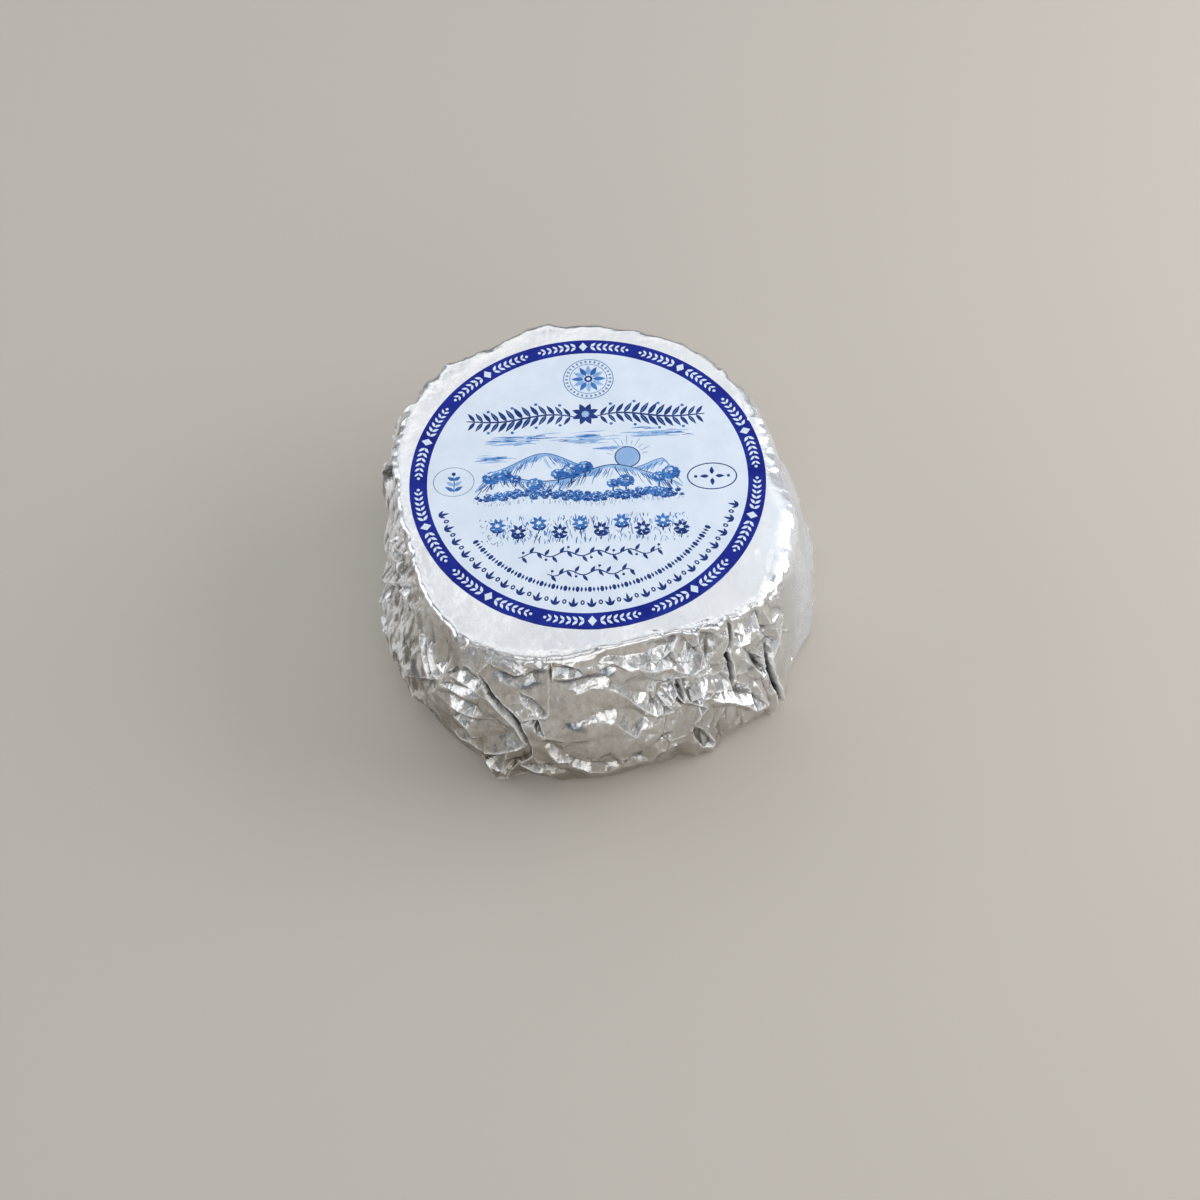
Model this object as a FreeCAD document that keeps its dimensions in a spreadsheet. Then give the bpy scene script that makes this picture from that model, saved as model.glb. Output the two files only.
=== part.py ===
import FreeCAD, Part
import math
import os

# A small wheel of blue cheese, wrapped whole in aluminium foil, with a round
# paper label stuck on its flat top.
#
# The foil is drawn tight over the top, turned down over a rounded shoulder,
# gathered in folds round the side and tucked under the foot.  The wheel spreads
# a little towards the foot, and its plan is not a true circle: it has a soft
# corner at the front left and another at the front right.
#
# Frame: millimetres, +Z up, -Y is the front, the origin is on the table at the
# middle of the footprint.  Angles are round the wheel's axis from +X, so the
# front is at -90 degrees.

doc = FreeCAD.newDocument("wrapped_cheese_wheel")

# ---------------------------------------------------------------- dimensions
sheet = doc.addObject("Spreadsheet::Sheet", "sizes")
sheet.Label = "sizes"

CELLS = [
    # name, value, note
    ("wheel_height", 66.0, "table to the flat top"),
    ("top_radius", 70.7, "mean radius at the shoulder"),
    ("girth_radius", 78.7, "mean radius where the side is widest"),
    ("girth_level", 7.0, "height of the widest part"),
    ("shoulder_radius", 3.5, "rounding between top and side"),
    ("foot_tuck", 4.0, "how far the foil turns in under the foot"),
    ("side_bow", 1.6, "1 is a straight cone, more bows the side out"),
    ("label_radius", 61.0, "paper label"),
    ("label_thickness", 0.2, "paper and its glue"),
    ("label_shift_x", -2.5, "label's middle from the wheel's axis"),
    ("label_shift_y", 0.5, "label's middle from the wheel's axis"),
    # plan of the shoulder: lobes as height and the angle of a crest
    ("top_lobe_one", 1.92, "off-centre"), ("top_turn_one", -144.0, ""),
    ("top_lobe_two", 1.88, "oval"), ("top_turn_two", -60.1, ""),
    ("top_lobe_three", 2.08, "three-cornered"), ("top_turn_three", -13.0, ""),
    ("top_lobe_four", 2.88, "four-cornered"), ("top_turn_four", -32.9, ""),
    ("top_lobe_five", 1.10, "five-cornered"), ("top_turn_five", 26.5, ""),
    # plan of the girth
    ("girth_lobe_one", 3.22, "off-centre"), ("girth_turn_one", -119.3, ""),
    ("girth_lobe_two", 0.84, "oval"), ("girth_turn_two", 62.0, ""),
    ("girth_lobe_three", 1.38, "three-cornered"), ("girth_turn_three", 1.8, ""),
    ("girth_lobe_four", 0.95, "four-cornered"), ("girth_turn_four", -21.3, ""),
    # the folds
    ("gather_count", 34.0, "upright gathers round the whole side"),
    ("gather_depth", 0.9, "height of a gather"),
    ("facet_cell", 9.0, "size of a flat facet where the foil is crushed"),
    ("facet_depth", 2.6, "height of the crushed facets, front right"),
    ("facet_depth_plain", 0.7, "height of the facets elsewhere"),
    ("crush_turn", -58.0, "middle of the crushed part"),
    ("crush_spread", 21.0, "half its width in degrees"),
    ("corner_turn", -42.0, "foil pushed out over the foot, front right"),
    ("corner_level", 14.0, ""), ("corner_depth", 4.6, ""),
    ("corner_spread", 9.0, "degrees"), ("corner_rise", 13.0, "half its height"),
    ("flap_depth", 2.2, "folded-over ear, front left"),
    ("flap_top_turn", -128.0, ""), ("flap_top_level", 56.0, ""),
    ("flap_toe_turn", -109.0, "free corner of the ear"), ("flap_toe_level", 21.0, ""),
    ("flap_root_turn", -138.0, "where the ear is pinched in"), ("flap_root_level", 15.0, ""),
    ("pinch_depth", 2.4, "hollow beside the ear's root"),
    ("ear_turn", 169.0, "loose fold that stands off the side, left"),
    ("ear_level", 45.0, ""), ("ear_depth", 2.8, ""),
    ("toe_turn", -117.0, "doubled foil at the foot, front left"), ("toe_depth", 2.0, ""),
    ("seam_turn", -102.7, "straight edge where the foil laps itself"),
    ("seam_depth", 0.8, ""),
    ("facets_around", 168.0, "facets of the skin, round"),
    ("facets_up", 18.0, "facets of the skin, up the side"),
]
for i, (name, value, note) in enumerate(CELLS, 1):
    sheet.set("A%d" % i, name.replace("_", " "))
    sheet.set("B%d" % i, repr(value))
    sheet.setAlias("B%d" % i, name)
    if note:
        sheet.set("C%d" % i, note)
doc.recompute()


def size(name):
    return float(getattr(sheet, name))


H = size("wheel_height")
REF = size("girth_radius")               # turns degrees into mm along the side
DEG = math.pi / 180.0


# ---------------------------------------------------------------- the plain form
def plan(prefix, turn, count):
    """Radius of a plan outline: a mean radius and its lobes."""
    words = ("one", "two", "three", "four", "five")[:count]
    r = size(prefix + "_radius")
    for k, word in enumerate(words, 1):
        r += size(prefix + "_lobe_" + word) * math.cos(
            k * (turn - size(prefix + "_turn_" + word)) * DEG)
    return r


def side_radius(top_r, girth_r, z):
    """Radius of the side at height z between the foot and the top."""
    shoulder = size("shoulder_radius")
    low, high = size("girth_level"), H - shoulder
    if z > high:
        u = min(1.0, (z - high) / shoulder)
        return top_r - shoulder * (1.0 - math.sqrt(max(0.0, 1.0 - u * u)))
    if z < low:
        v = min(1.0, (low - z) / low)
        return girth_r - size("foot_tuck") * (1.0 - math.sqrt(max(0.0, 1.0 - v * v)))
    u = (z - low) / (high - low)
    return girth_r - (girth_r - top_r) * u ** size("side_bow")


# ---------------------------------------------------------------- the folds
def chance(i, j, key):
    """A repeatable number from -1 to 1 for a place in a lattice."""
    n = (i * 374761393 + j * 668265263 + key * 974634777) & 0xFFFFFFFF
    n = ((n ^ (n >> 13)) * 1274126177) & 0xFFFFFFFF
    n = (n ^ (n >> 16)) & 0xFFFFFFFF
    return n / 2147483647.5 - 1.0


def facets(a, z, cell, around, key):
    """Flat triangular facets with random corner heights; closes round the wheel."""
    u, v = a / cell, z / (cell * 0.87)
    v0 = math.floor(v)
    fv = v - v0
    u0 = math.floor(u)
    fu = u - u0
    c00 = chance(u0 % around, v0, key)
    c10 = chance((u0 + 1) % around, v0, key)
    c01 = chance(u0 % around, v0 + 1, key)
    c11 = chance((u0 + 1) % around, v0 + 1, key)
    if (u0 + v0) % 2 == 0:
        if fu + fv < 1.0:
            return c00 + (c10 - c00) * fu + (c01 - c00) * fv
        return c11 + (c01 - c11) * (1.0 - fu) + (c10 - c11) * (1.0 - fv)
    if fu > fv:
        return c00 + (c10 - c00) * fu + (c11 - c10) * fv
    return c00 + (c01 - c00) * fv + (c11 - c01) * fu


def bell(x, spread):
    return math.exp(-(x / spread) ** 2)


def turn_between(turn, middle):
    """Signed degrees from middle to turn."""
    return (turn - middle + 180.0) % 360.0 - 180.0


def side_of_line(turn, z, t0, z0, t1, z1):
    """Distance in mm from a slanting line on the side, and how far along it."""
    ax, az = turn_between(turn, t0) * DEG * REF, z - z0
    bx, bz = turn_between(t1, t0) * DEG * REF, z1 - z0
    length = math.hypot(bx, bz)
    along = (ax * bx + az * bz) / length
    off = (ax * bz - az * bx) / length
    return off, along, length


def crease(turn, z, t0, z0, t1, z1, depth, width):
    """A ridge (or, with depth below 0, a valley) with a sharp crest."""
    off, along, length = side_of_line(turn, z, t0, z0, t1, z1)
    past = max(0.0, -along, along - length)
    return depth * math.exp(-math.hypot(off, past) / width)


def relief(turn, z):
    """How far the foil stands off the plain form at this place."""
    a = turn * DEG * REF
    around = round(360.0 * DEG * REF / size("facet_cell"))
    around -= around % 2
    cell = 360.0 * DEG * REF / around
    crush = bell(turn_between(turn, size("crush_turn")), size("crush_spread"))
    d = 0.0
    # upright gathers, uneven in width and height
    n = size("gather_count")
    wander = 0.22 * math.sin(3 * turn * DEG + 0.6) + 0.16 * math.sin(5 * turn * DEG + 2.1)
    phase = n * (turn * DEG + wander) + 0.035 * (z - 30.0) * math.sin(2 * turn * DEG + 1.0)
    crest = 1.0 - abs(math.sin(phase / 2.0)) * 2.0
    slot = int(math.floor(phase / (2 * math.pi) + 0.5))
    strength = 0.55 + 0.45 * chance(slot, 3, 5)
    d += size("gather_depth") * strength * crest * (1.0 - 0.5 * crush)
    # crushed facets, deep at the front right and slight elsewhere
    deep = size("facet_depth_plain") + (size("facet_depth") - size("facet_depth_plain")) * crush
    d += deep * facets(a, z, cell, around, 11)
    # foil pushed out over the foot at the front right corner
    d += size("corner_depth") * bell(turn_between(turn, size("corner_turn")),
                                     size("corner_spread")) \
        * bell(z - size("corner_level"), size("corner_rise"))
    # the ear folded over at the front left: proud of the side up to its free edge
    off, along, length = side_of_line(turn, z, size("flap_top_turn"), size("flap_top_level"),
                                      size("flap_toe_turn"), size("flap_toe_level"))
    if 0.0 <= along <= length:
        grow = along / length
        if off >= 0.0:
            d += size("flap_depth") * (0.35 + 0.65 * grow) * max(0.0, 1.0 - off / 16.0)
        else:
            d -= 0.5 * size("flap_depth") * math.exp(off / 2.5)
    # the line of the ear's root, and the pinch at its end
    d += crease(turn, z, size("flap_top_turn"), size("flap_top_level"),
                size("flap_root_turn"), size("flap_root_level"), 1.3, 2.2)
    d -= size("pinch_depth") * bell(turn_between(turn, size("flap_root_turn")) * DEG * REF, 6.0) \
        * bell(z - size("flap_root_level"), 6.0)
    # the loose fold on the left, cut off short under the shoulder
    d += size("ear_depth") * bell(turn_between(turn, size("ear_turn")), 6.5) \
        * bell(z - size("ear_level"), 9.0) * (1.0 if z < size("ear_level") + 9.0 else 0.3)
    # doubled foil at the foot
    d += size("toe_depth") * bell(turn_between(turn, size("toe_turn")), 4.0) * bell(z - 5.0, 5.0)
    # ridges that run down from the root to the foot
    root_t, root_z = size("flap_root_turn"), size("flap_root_level")
    for step in range(3):
        d += crease(turn, z, root_t + 3.0, root_z + 12.0 - 6.0 * step,
                    root_t + 17.0 + 3.0 * step, root_z - 1.0 - 3.0 * step, 1.2, 1.6)
    # the slanting crease on the left
    d += crease(turn, z, -171.0, 29.0, -146.0, 64.0, -1.4, 1.8)
    d += crease(turn, z, -172.0, 32.0, -148.0, 66.0, 1.0, 1.8)
    # the straight lapped edge at the front
    off = turn_between(turn, size("seam_turn")) * DEG * REF
    if 26.0 < z < 62.0:
        d += size("seam_depth") * (math.exp(-off / 6.0) if off >= 0.0 else 0.0)
    # the long ridge and the soft swelling right of the seam
    d += crease(turn, z, -89.0, 50.0, -75.0, 31.0, 1.3, 2.2)
    d += 1.3 * bell(turn_between(turn, -86.0) * DEG * REF, 9.0) * bell(z - 24.0, 9.0)
    # three deep valleys in the crushed part
    d += crease(turn, z, -53.0, 62.0, -55.5, 35.0, -2.2, 1.9)
    d += crease(turn, z, -39.5, 50.0, -42.5, 20.0, -2.4, 1.9)
    d += crease(turn, z, -51.0, 20.0, -57.0, 10.0, -2.0, 1.8)
    # folds die away into the flat top and into the flat foot
    fade_top = min(1.0, max(0.0, (H - z) / 9.0))
    fade_foot = min(1.0, max(0.0, z / 5.0))
    return d * fade_top ** 0.8 * fade_foot ** 0.7


# ---------------------------------------------------------------- the foil skin
AROUND = int(size("facets_around"))
shoulder, low = size("shoulder_radius"), size("girth_level")
levels = [0.0, 0.28 * low, 0.62 * low]
up = int(size("facets_up"))
for k in range(up + 1):
    levels.append(low + (H - shoulder - low) * k / up)
levels += [H - shoulder * (1.0 - math.sin(q * DEG)) for q in (30.0, 60.0, 90.0)]

rings = []
for z in levels:
    ring = []
    for i in range(AROUND):
        turn = -180.0 + 360.0 * i / AROUND
        r = side_radius(plan("top", turn, 5), plan("girth", turn, 4), z) + relief(turn, z)
        ring.append((r * math.cos(turn * DEG), r * math.sin(turn * DEG), z))
    rings.append(ring)

# put the axis so that the footprint's middle is the origin
xs = [p[0] for ring in rings for p in ring]
ys = [p[1] for ring in rings for p in ring]
axis_x = -(max(xs) + min(xs)) / 2.0
axis_y = -(max(ys) + min(ys)) / 2.0
print("axis of the wheel at %.3f, %.3f mm" % (axis_x, axis_y))
print("size %.2f x %.2f mm" % (max(xs) - min(xs), max(ys) - min(ys)))


def vec(p):
    return FreeCAD.Vector(p[0] + axis_x, p[1] + axis_y, p[2])


verts = [[vec(p) for p in ring] for ring in rings]


def face(points):
    return Part.Face(Part.makePolygon(points + [points[0]]))


faces = [face(list(reversed(verts[0]))), face(verts[-1])]
for j in range(len(verts) - 1):
    for i in range(AROUND):
        k = (i + 1) % AROUND
        a, b, c, d = verts[j][i], verts[j][k], verts[j + 1][k], verts[j + 1][i]
        # the shorter diagonal keeps the facets compact
        if (a - c).Length <= (b - d).Length:
            faces += [face([a, b, c]), face([a, c, d])]
        else:
            faces += [face([a, b, d]), face([b, c, d])]
print("facets:", len(faces))

wrap_shape = Part.Solid(Part.Shell(faces))
if wrap_shape.Volume < 0:
    wrap_shape.reverse()

wrap = doc.addObject("Part::Feature", "foil_wrapped_wheel")
wrap.Label = "foil_wrapped_wheel"
wrap.Shape = wrap_shape

# ---------------------------------------------------------------- the label
label = doc.addObject("PartDesign::Body", "paper_label")
label.Label = "paper_label"
plane = [o for o in label.Origin.OriginFeatures if o.Role == "XY_Plane"][0]
disc = label.newObject("Sketcher::SketchObject", "label_outline")
disc.AttachmentSupport = [(plane, "")]
disc.MapMode = "FlatFace"
ring = disc.addGeometry(Part.Circle(FreeCAD.Vector(0, 0, 0), FreeCAD.Vector(0, 0, 1),
                                    size("label_radius")), False)
import Sketcher
disc.addConstraint(Sketcher.Constraint("Coincident", ring, 3, -1, 1))
bound = disc.addConstraint(Sketcher.Constraint("Radius", ring, size("label_radius")))
disc.setExpression("Constraints[%d]" % bound, "sizes.label_radius")
pad = label.newObject("PartDesign::Pad", "label_paper")
pad.Profile = disc
pad.setExpression("Length", "sizes.label_thickness")
label.Tip = pad
label.Placement = FreeCAD.Placement(
    FreeCAD.Vector(axis_x + size("label_shift_x"), axis_y + size("label_shift_y"), H),
    FreeCAD.Rotation())
label.setExpression("Placement.Base.x", "sizes.label_shift_x + %.6f mm / 1 mm" % axis_x)
label.setExpression("Placement.Base.y", "sizes.label_shift_y + %.6f mm / 1 mm" % axis_y)
label.setExpression("Placement.Base.z", "sizes.wheel_height")

doc.recompute()

# ---------------------------------------------------------------- check and write
for obj in doc.Objects:
    if any(flag in obj.State for flag in ("Invalid", "Error")):
        raise RuntimeError("%s failed: %s" % (obj.Name, obj.State))

nodes = [wrap, label]
for obj in nodes:
    shape = obj.Shape
    if shape.isNull() or not shape.isValid():
        raise RuntimeError("%s has no valid shape" % obj.Label)
    if len(shape.Solids) != 1:
        raise RuntimeError("%s is not one solid" % obj.Label)

# the label lies whole on the flat of the top
flat = max(wrap.Shape.Faces, key=lambda f: f.CenterOfMass.z + (f.Area > 1000.0))
seat = Part.Face(Part.Wire(Part.makeCircle(size("label_radius"), FreeCAD.Vector(
    axis_x + size("label_shift_x"), axis_y + size("label_shift_y"), H))))
seated = seat.common(Part.Face(flat.OuterWire)).Area
print("label off the flat: %.3f of %.1f mm2" % (seat.Area - seated, seat.Area))

os.makedirs("parts", exist_ok=True)
for obj in nodes:
    obj.Shape.exportStep("parts/%s.step" % obj.Label)
    box = obj.Shape.BoundBox
    print("%-20s %8.1f cm3  x %.2f..%.2f  y %.2f..%.2f  z %.2f..%.2f" % (
        obj.Label, obj.Shape.Volume / 1000.0,
        box.XMin, box.XMax, box.YMin, box.YMax, box.ZMin, box.ZMax))
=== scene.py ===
import math

import bpy
import numpy as np
from mathutils import Matrix, Vector
from mathutils.geometry import delaunay_2d_cdt


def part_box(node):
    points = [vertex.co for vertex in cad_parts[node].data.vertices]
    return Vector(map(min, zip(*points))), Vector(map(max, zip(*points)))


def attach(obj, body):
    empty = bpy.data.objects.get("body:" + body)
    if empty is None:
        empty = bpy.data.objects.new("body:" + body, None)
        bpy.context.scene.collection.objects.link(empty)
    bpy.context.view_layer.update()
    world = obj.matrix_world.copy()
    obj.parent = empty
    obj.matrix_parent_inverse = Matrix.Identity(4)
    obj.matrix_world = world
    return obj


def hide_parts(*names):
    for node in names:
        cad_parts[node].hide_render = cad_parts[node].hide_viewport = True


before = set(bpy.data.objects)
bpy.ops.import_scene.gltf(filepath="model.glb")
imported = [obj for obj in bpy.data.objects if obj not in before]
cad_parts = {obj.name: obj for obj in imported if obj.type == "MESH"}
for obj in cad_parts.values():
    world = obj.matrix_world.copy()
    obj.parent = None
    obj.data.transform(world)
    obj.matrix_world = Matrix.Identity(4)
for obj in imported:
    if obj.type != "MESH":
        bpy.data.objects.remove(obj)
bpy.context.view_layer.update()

MM = 0.001
F = np.float32

# ------------------------------------------------------------------ the wheel's plain form
# millimetres, the same lobes as the CAD model, about the wheel's axis
H = 66.0
SHOULDER, GIRTH_Z, TUCK, BOW = 3.5, 7.0, 4.0, 1.6
TOP = [(70.7, 0, 0.0), (1.92, 1, -144.0), (1.88, 2, -60.1), (2.08, 3, -13.0), (2.88, 4, -32.9), (1.10, 5, 26.5)]
GIRTH = [(78.7, 0, 0.0), (3.22, 1, -119.3), (0.84, 2, 62.0), (1.38, 3, 1.8), (0.95, 4, -21.3)]
REF = 78.7
LABEL_R = 61.0
LABEL_SHIFT = (-2.5, 0.5)
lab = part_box("paper_label")
LABEL_AT = ((lab[0][0] + lab[1][0]) / 2 / MM, (lab[0][1] + lab[1][1]) / 2 / MM)
AXIS = (LABEL_AT[0] - LABEL_SHIFT[0], LABEL_AT[1] - LABEL_SHIFT[1])
TOP_Z = lab[0][2] / MM


def plan(lobes, turn):
    r = 0.0 * turn
    for height, k, at in lobes:
        r = r + height * np.cos(k * np.radians(turn - at))
    return r


def turn_from(turn, middle):
    return (turn - middle + 180.0) % 360.0 - 180.0


def bell(x, spread):
    return np.exp(-(x / spread) ** 2)


def step(x, a, b):
    u = np.clip((x - a) / (b - a), 0, 1)
    return u * u * (3 - 2 * u)


def window(turn, first, last, soft):
    """1 between two turns, fading over soft degrees at each end."""
    middle, half = (first + last) / 2, (last - first) / 2
    return np.clip((half + soft - np.abs(turn_from(turn, middle))) / soft, 0, 1)


# ------------------------------------------------------------------ the grid of the foil
# u runs round the wheel, closer together at the front; v runs from the top's
# rim down the side, round the foot and in underneath
def turns(count):
    t = np.linspace(-180, 180, 3601)
    dens = 1.0 + 0.75 * np.exp(-(turn_from(t, -80) / 72.0) ** 4)
    c = np.concatenate([[0], np.cumsum((dens[1:] + dens[:-1]) / 2)])
    return np.interp(np.arange(count) / count, c / c[-1], t)


GRID = (1500, 270)
FOIL_TRIANGLES = 185000
CRISP = 24.0
RIM = 55.0            # the skin's inner edge on the top, under the label


def skin(count_u, count_v):
    """Plain positions (u, v, 3) from the top's rim to under the foot."""
    turn = turns(count_u)
    q = np.radians(turn)
    uneven = 1 - 0.85 * window(turn, -34, 100, 12)
    top = (plan(TOP, turn) + 0.11 * uneven * (np.sin(17 * q + 1) + np.sin(29 * q + 2.2) + 0.6 * np.sin(61 * q + 0.4)))[:, None]
    girth = plan(GIRTH, turn)[:, None]
    a = np.linspace(0, 1, 60)[None]
    b = np.linspace(0, math.pi / 2, 40)[None]
    t = np.linspace(1, 0, 160)[None]
    bow = BOW + 0.9 * window(turn, -34, 30, 12)[:, None]
    arc = SHOULDER + (5.0 * window(turn, -30, 24, 12) - 1.5 * window(turn, -178, -48, 10))[:, None]
    arc = arc * (1 + 0.07 * uneven * (np.sin(19 * q + 0.7) + np.sin(31 * q) + np.sin(53 * q + 2)))[:, None]
    r = [RIM + (top - arc - RIM) * a, top - arc + arc * np.sin(b),
         girth - (girth - top) * t ** bow, girth - TUCK * (1 - np.cos(b)), girth - TUCK - 12.0 * a]
    z = [H + 0 * a + 0 * top, H - arc + arc * np.cos(b) + 0 * top,
         GIRTH_Z + (H - arc - GIRTH_Z) * t + 0 * top, GIRTH_Z * (1 - np.sin(b)) + 0 * top, 0 * a + 0 * top]
    r = np.concatenate(r, 1)
    z = np.concatenate(z, 1)
    s = np.concatenate([np.zeros((count_u, 1)), np.cumsum(np.hypot(np.diff(r, axis=1), np.diff(z, axis=1)), 1)], 1)
    out = np.empty((count_u, count_v, 3))
    for i in range(count_u):
        q = np.linspace(0, s[i, -1], count_v)
        ri, zi = np.interp(q, s[i], r[i]), np.interp(q, s[i], z[i])
        out[i, :, 0] = ri * math.cos(math.radians(turn[i]))
        out[i, :, 1] = ri * math.sin(math.radians(turn[i]))
        out[i, :, 2] = zi
    return turn, out.astype(F)


def normals_of(x):
    du = np.roll(x, -1, 0) - np.roll(x, 1, 0)
    dv = np.empty_like(x)
    dv[:, 1:-1] = x[:, 2:] - x[:, :-2]
    dv[:, 0] = x[:, 1] - x[:, 0]
    dv[:, -1] = x[:, -1] - x[:, -2]
    n = np.cross(dv, du)
    return (n / (np.linalg.norm(n, axis=-1, keepdims=True) + 1e-9)).astype(F)


# ------------------------------------------------------------------ crumple
def tin(a, s, pts, hts, edges, around):
    """Flat facets: heights on scattered points joined by triangles that keep the
    given edges as creases. a and s are the grid's own sorted coordinates in mm;
    the sheet closes round a."""
    pts, hts = np.asarray(pts, float), np.asarray(hts, float)
    pts = pts.copy()
    pts[:, 0] = (pts[:, 0] - a[0]) % around + a[0]
    span = 30.0
    copies, heights, joins, at = [pts], [hts], [], len(pts)
    for shift, pick in ((-around, pts[:, 0] > a[0] + around - span), (around, pts[:, 0] < a[0] + span)):
        new = np.full(len(pts), -1)
        new[pick] = at + np.arange(pick.sum())
        at += int(pick.sum())
        copies.append(pts[pick] + [shift, 0])
        heights.append(hts[pick])
        joins += [(int(new[i]), int(new[j])) for i, j in edges if new[i] >= 0 and new[j] >= 0]
    near = [(i, j) for i, j in edges if abs(pts[i, 0] - pts[j, 0]) < around / 2]
    p, h = np.concatenate(copies), np.concatenate(heights)
    res = delaunay_2d_cdt([Vector(q) for q in p], near + joins, [], 0, 1e-5, True)
    verts, links, tris, orig = res[0], res[1], res[2], res[3]
    hh = np.array([h[o[0]] if len(o) else np.nan for o in orig])
    if np.isnan(hh).any():
        total, count = np.zeros(len(hh)), np.zeros(len(hh))
        for i, j in links:
            for p0, p1 in ((i, j), (j, i)):
                if np.isnan(hh[p0]) and not np.isnan(hh[p1]):
                    total[p0] += hh[p1]
                    count[p0] += 1
        lost = np.isnan(hh)
        hh[lost] = total[lost] / np.maximum(count[lost], 1)
    vx = np.array([v[0] for v in verts])
    vy = np.array([v[1] for v in verts])
    out = np.zeros((len(a), len(s)), F)
    for t in tris:
        x, y, g = vx[list(t)], vy[list(t)], hh[list(t)]
        i0, i1 = np.searchsorted(a, x.min()), np.searchsorted(a, x.max(), side="right")
        j0, j1 = np.searchsorted(s, y.min()), np.searchsorted(s, y.max(), side="right")
        if i0 >= i1 or j0 >= j1:
            continue
        det = (y[1] - y[2]) * (x[0] - x[2]) + (x[2] - x[1]) * (y[0] - y[2])
        if abs(det) < 1e-12:
            continue
        ga, gs = a[i0:i1, None], s[None, j0:j1]
        w0 = ((y[1] - y[2]) * (ga - x[2]) + (x[2] - x[1]) * (gs - y[2])) / det
        w1 = ((y[2] - y[0]) * (ga - x[2]) + (x[0] - x[2]) * (gs - y[2])) / det
        w2 = 1 - w0 - w1
        ins = (w0 >= -1e-6) & (w1 >= -1e-6) & (w2 >= -1e-6)
        blk = out[i0:i1, j0:j1]
        blk[ins] = (w0 * g[0] + w1 * g[1] + w2 * g[2])[ins]
    return out


def crumple(a, s, cell_a, cell_s, seed, around, slant=0.0):
    """Irregular facets all over: random heights on a shaken grid of points."""
    rnd = np.random.RandomState(seed)
    na = max(6, int(round(around / cell_a)))
    ns = max(3, int(math.ceil((s[-1] - s[0]) / cell_s)) + 1)
    pts, hts = [], []
    for i in range(na):
        for j in range(-1, ns + 1):
            y = s[0] + (j + rnd.uniform(-0.42, 0.42)) * cell_s
            pts.append(((i + 0.5 * (j % 2) + rnd.uniform(-0.42, 0.42)) * around / na + a[0] + slant * y, y))
            hts.append(rnd.uniform(-1, 1))
    squeeze = cell_a / cell_s
    pts = np.array(pts)
    pts[:, 1] *= squeeze
    return tin(a, s * squeeze, pts, hts, [], around)


def soften(f, times):
    for _ in range(times):
        f = (np.roll(f, 1, 0) + 2 * f + np.roll(f, -1, 0)) / 4
        g = f.copy()
        g[:, 1:-1] = (f[:, :-2] + 2 * f[:, 1:-1] + f[:, 2:]) / 4
        f = g
    return f


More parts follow.
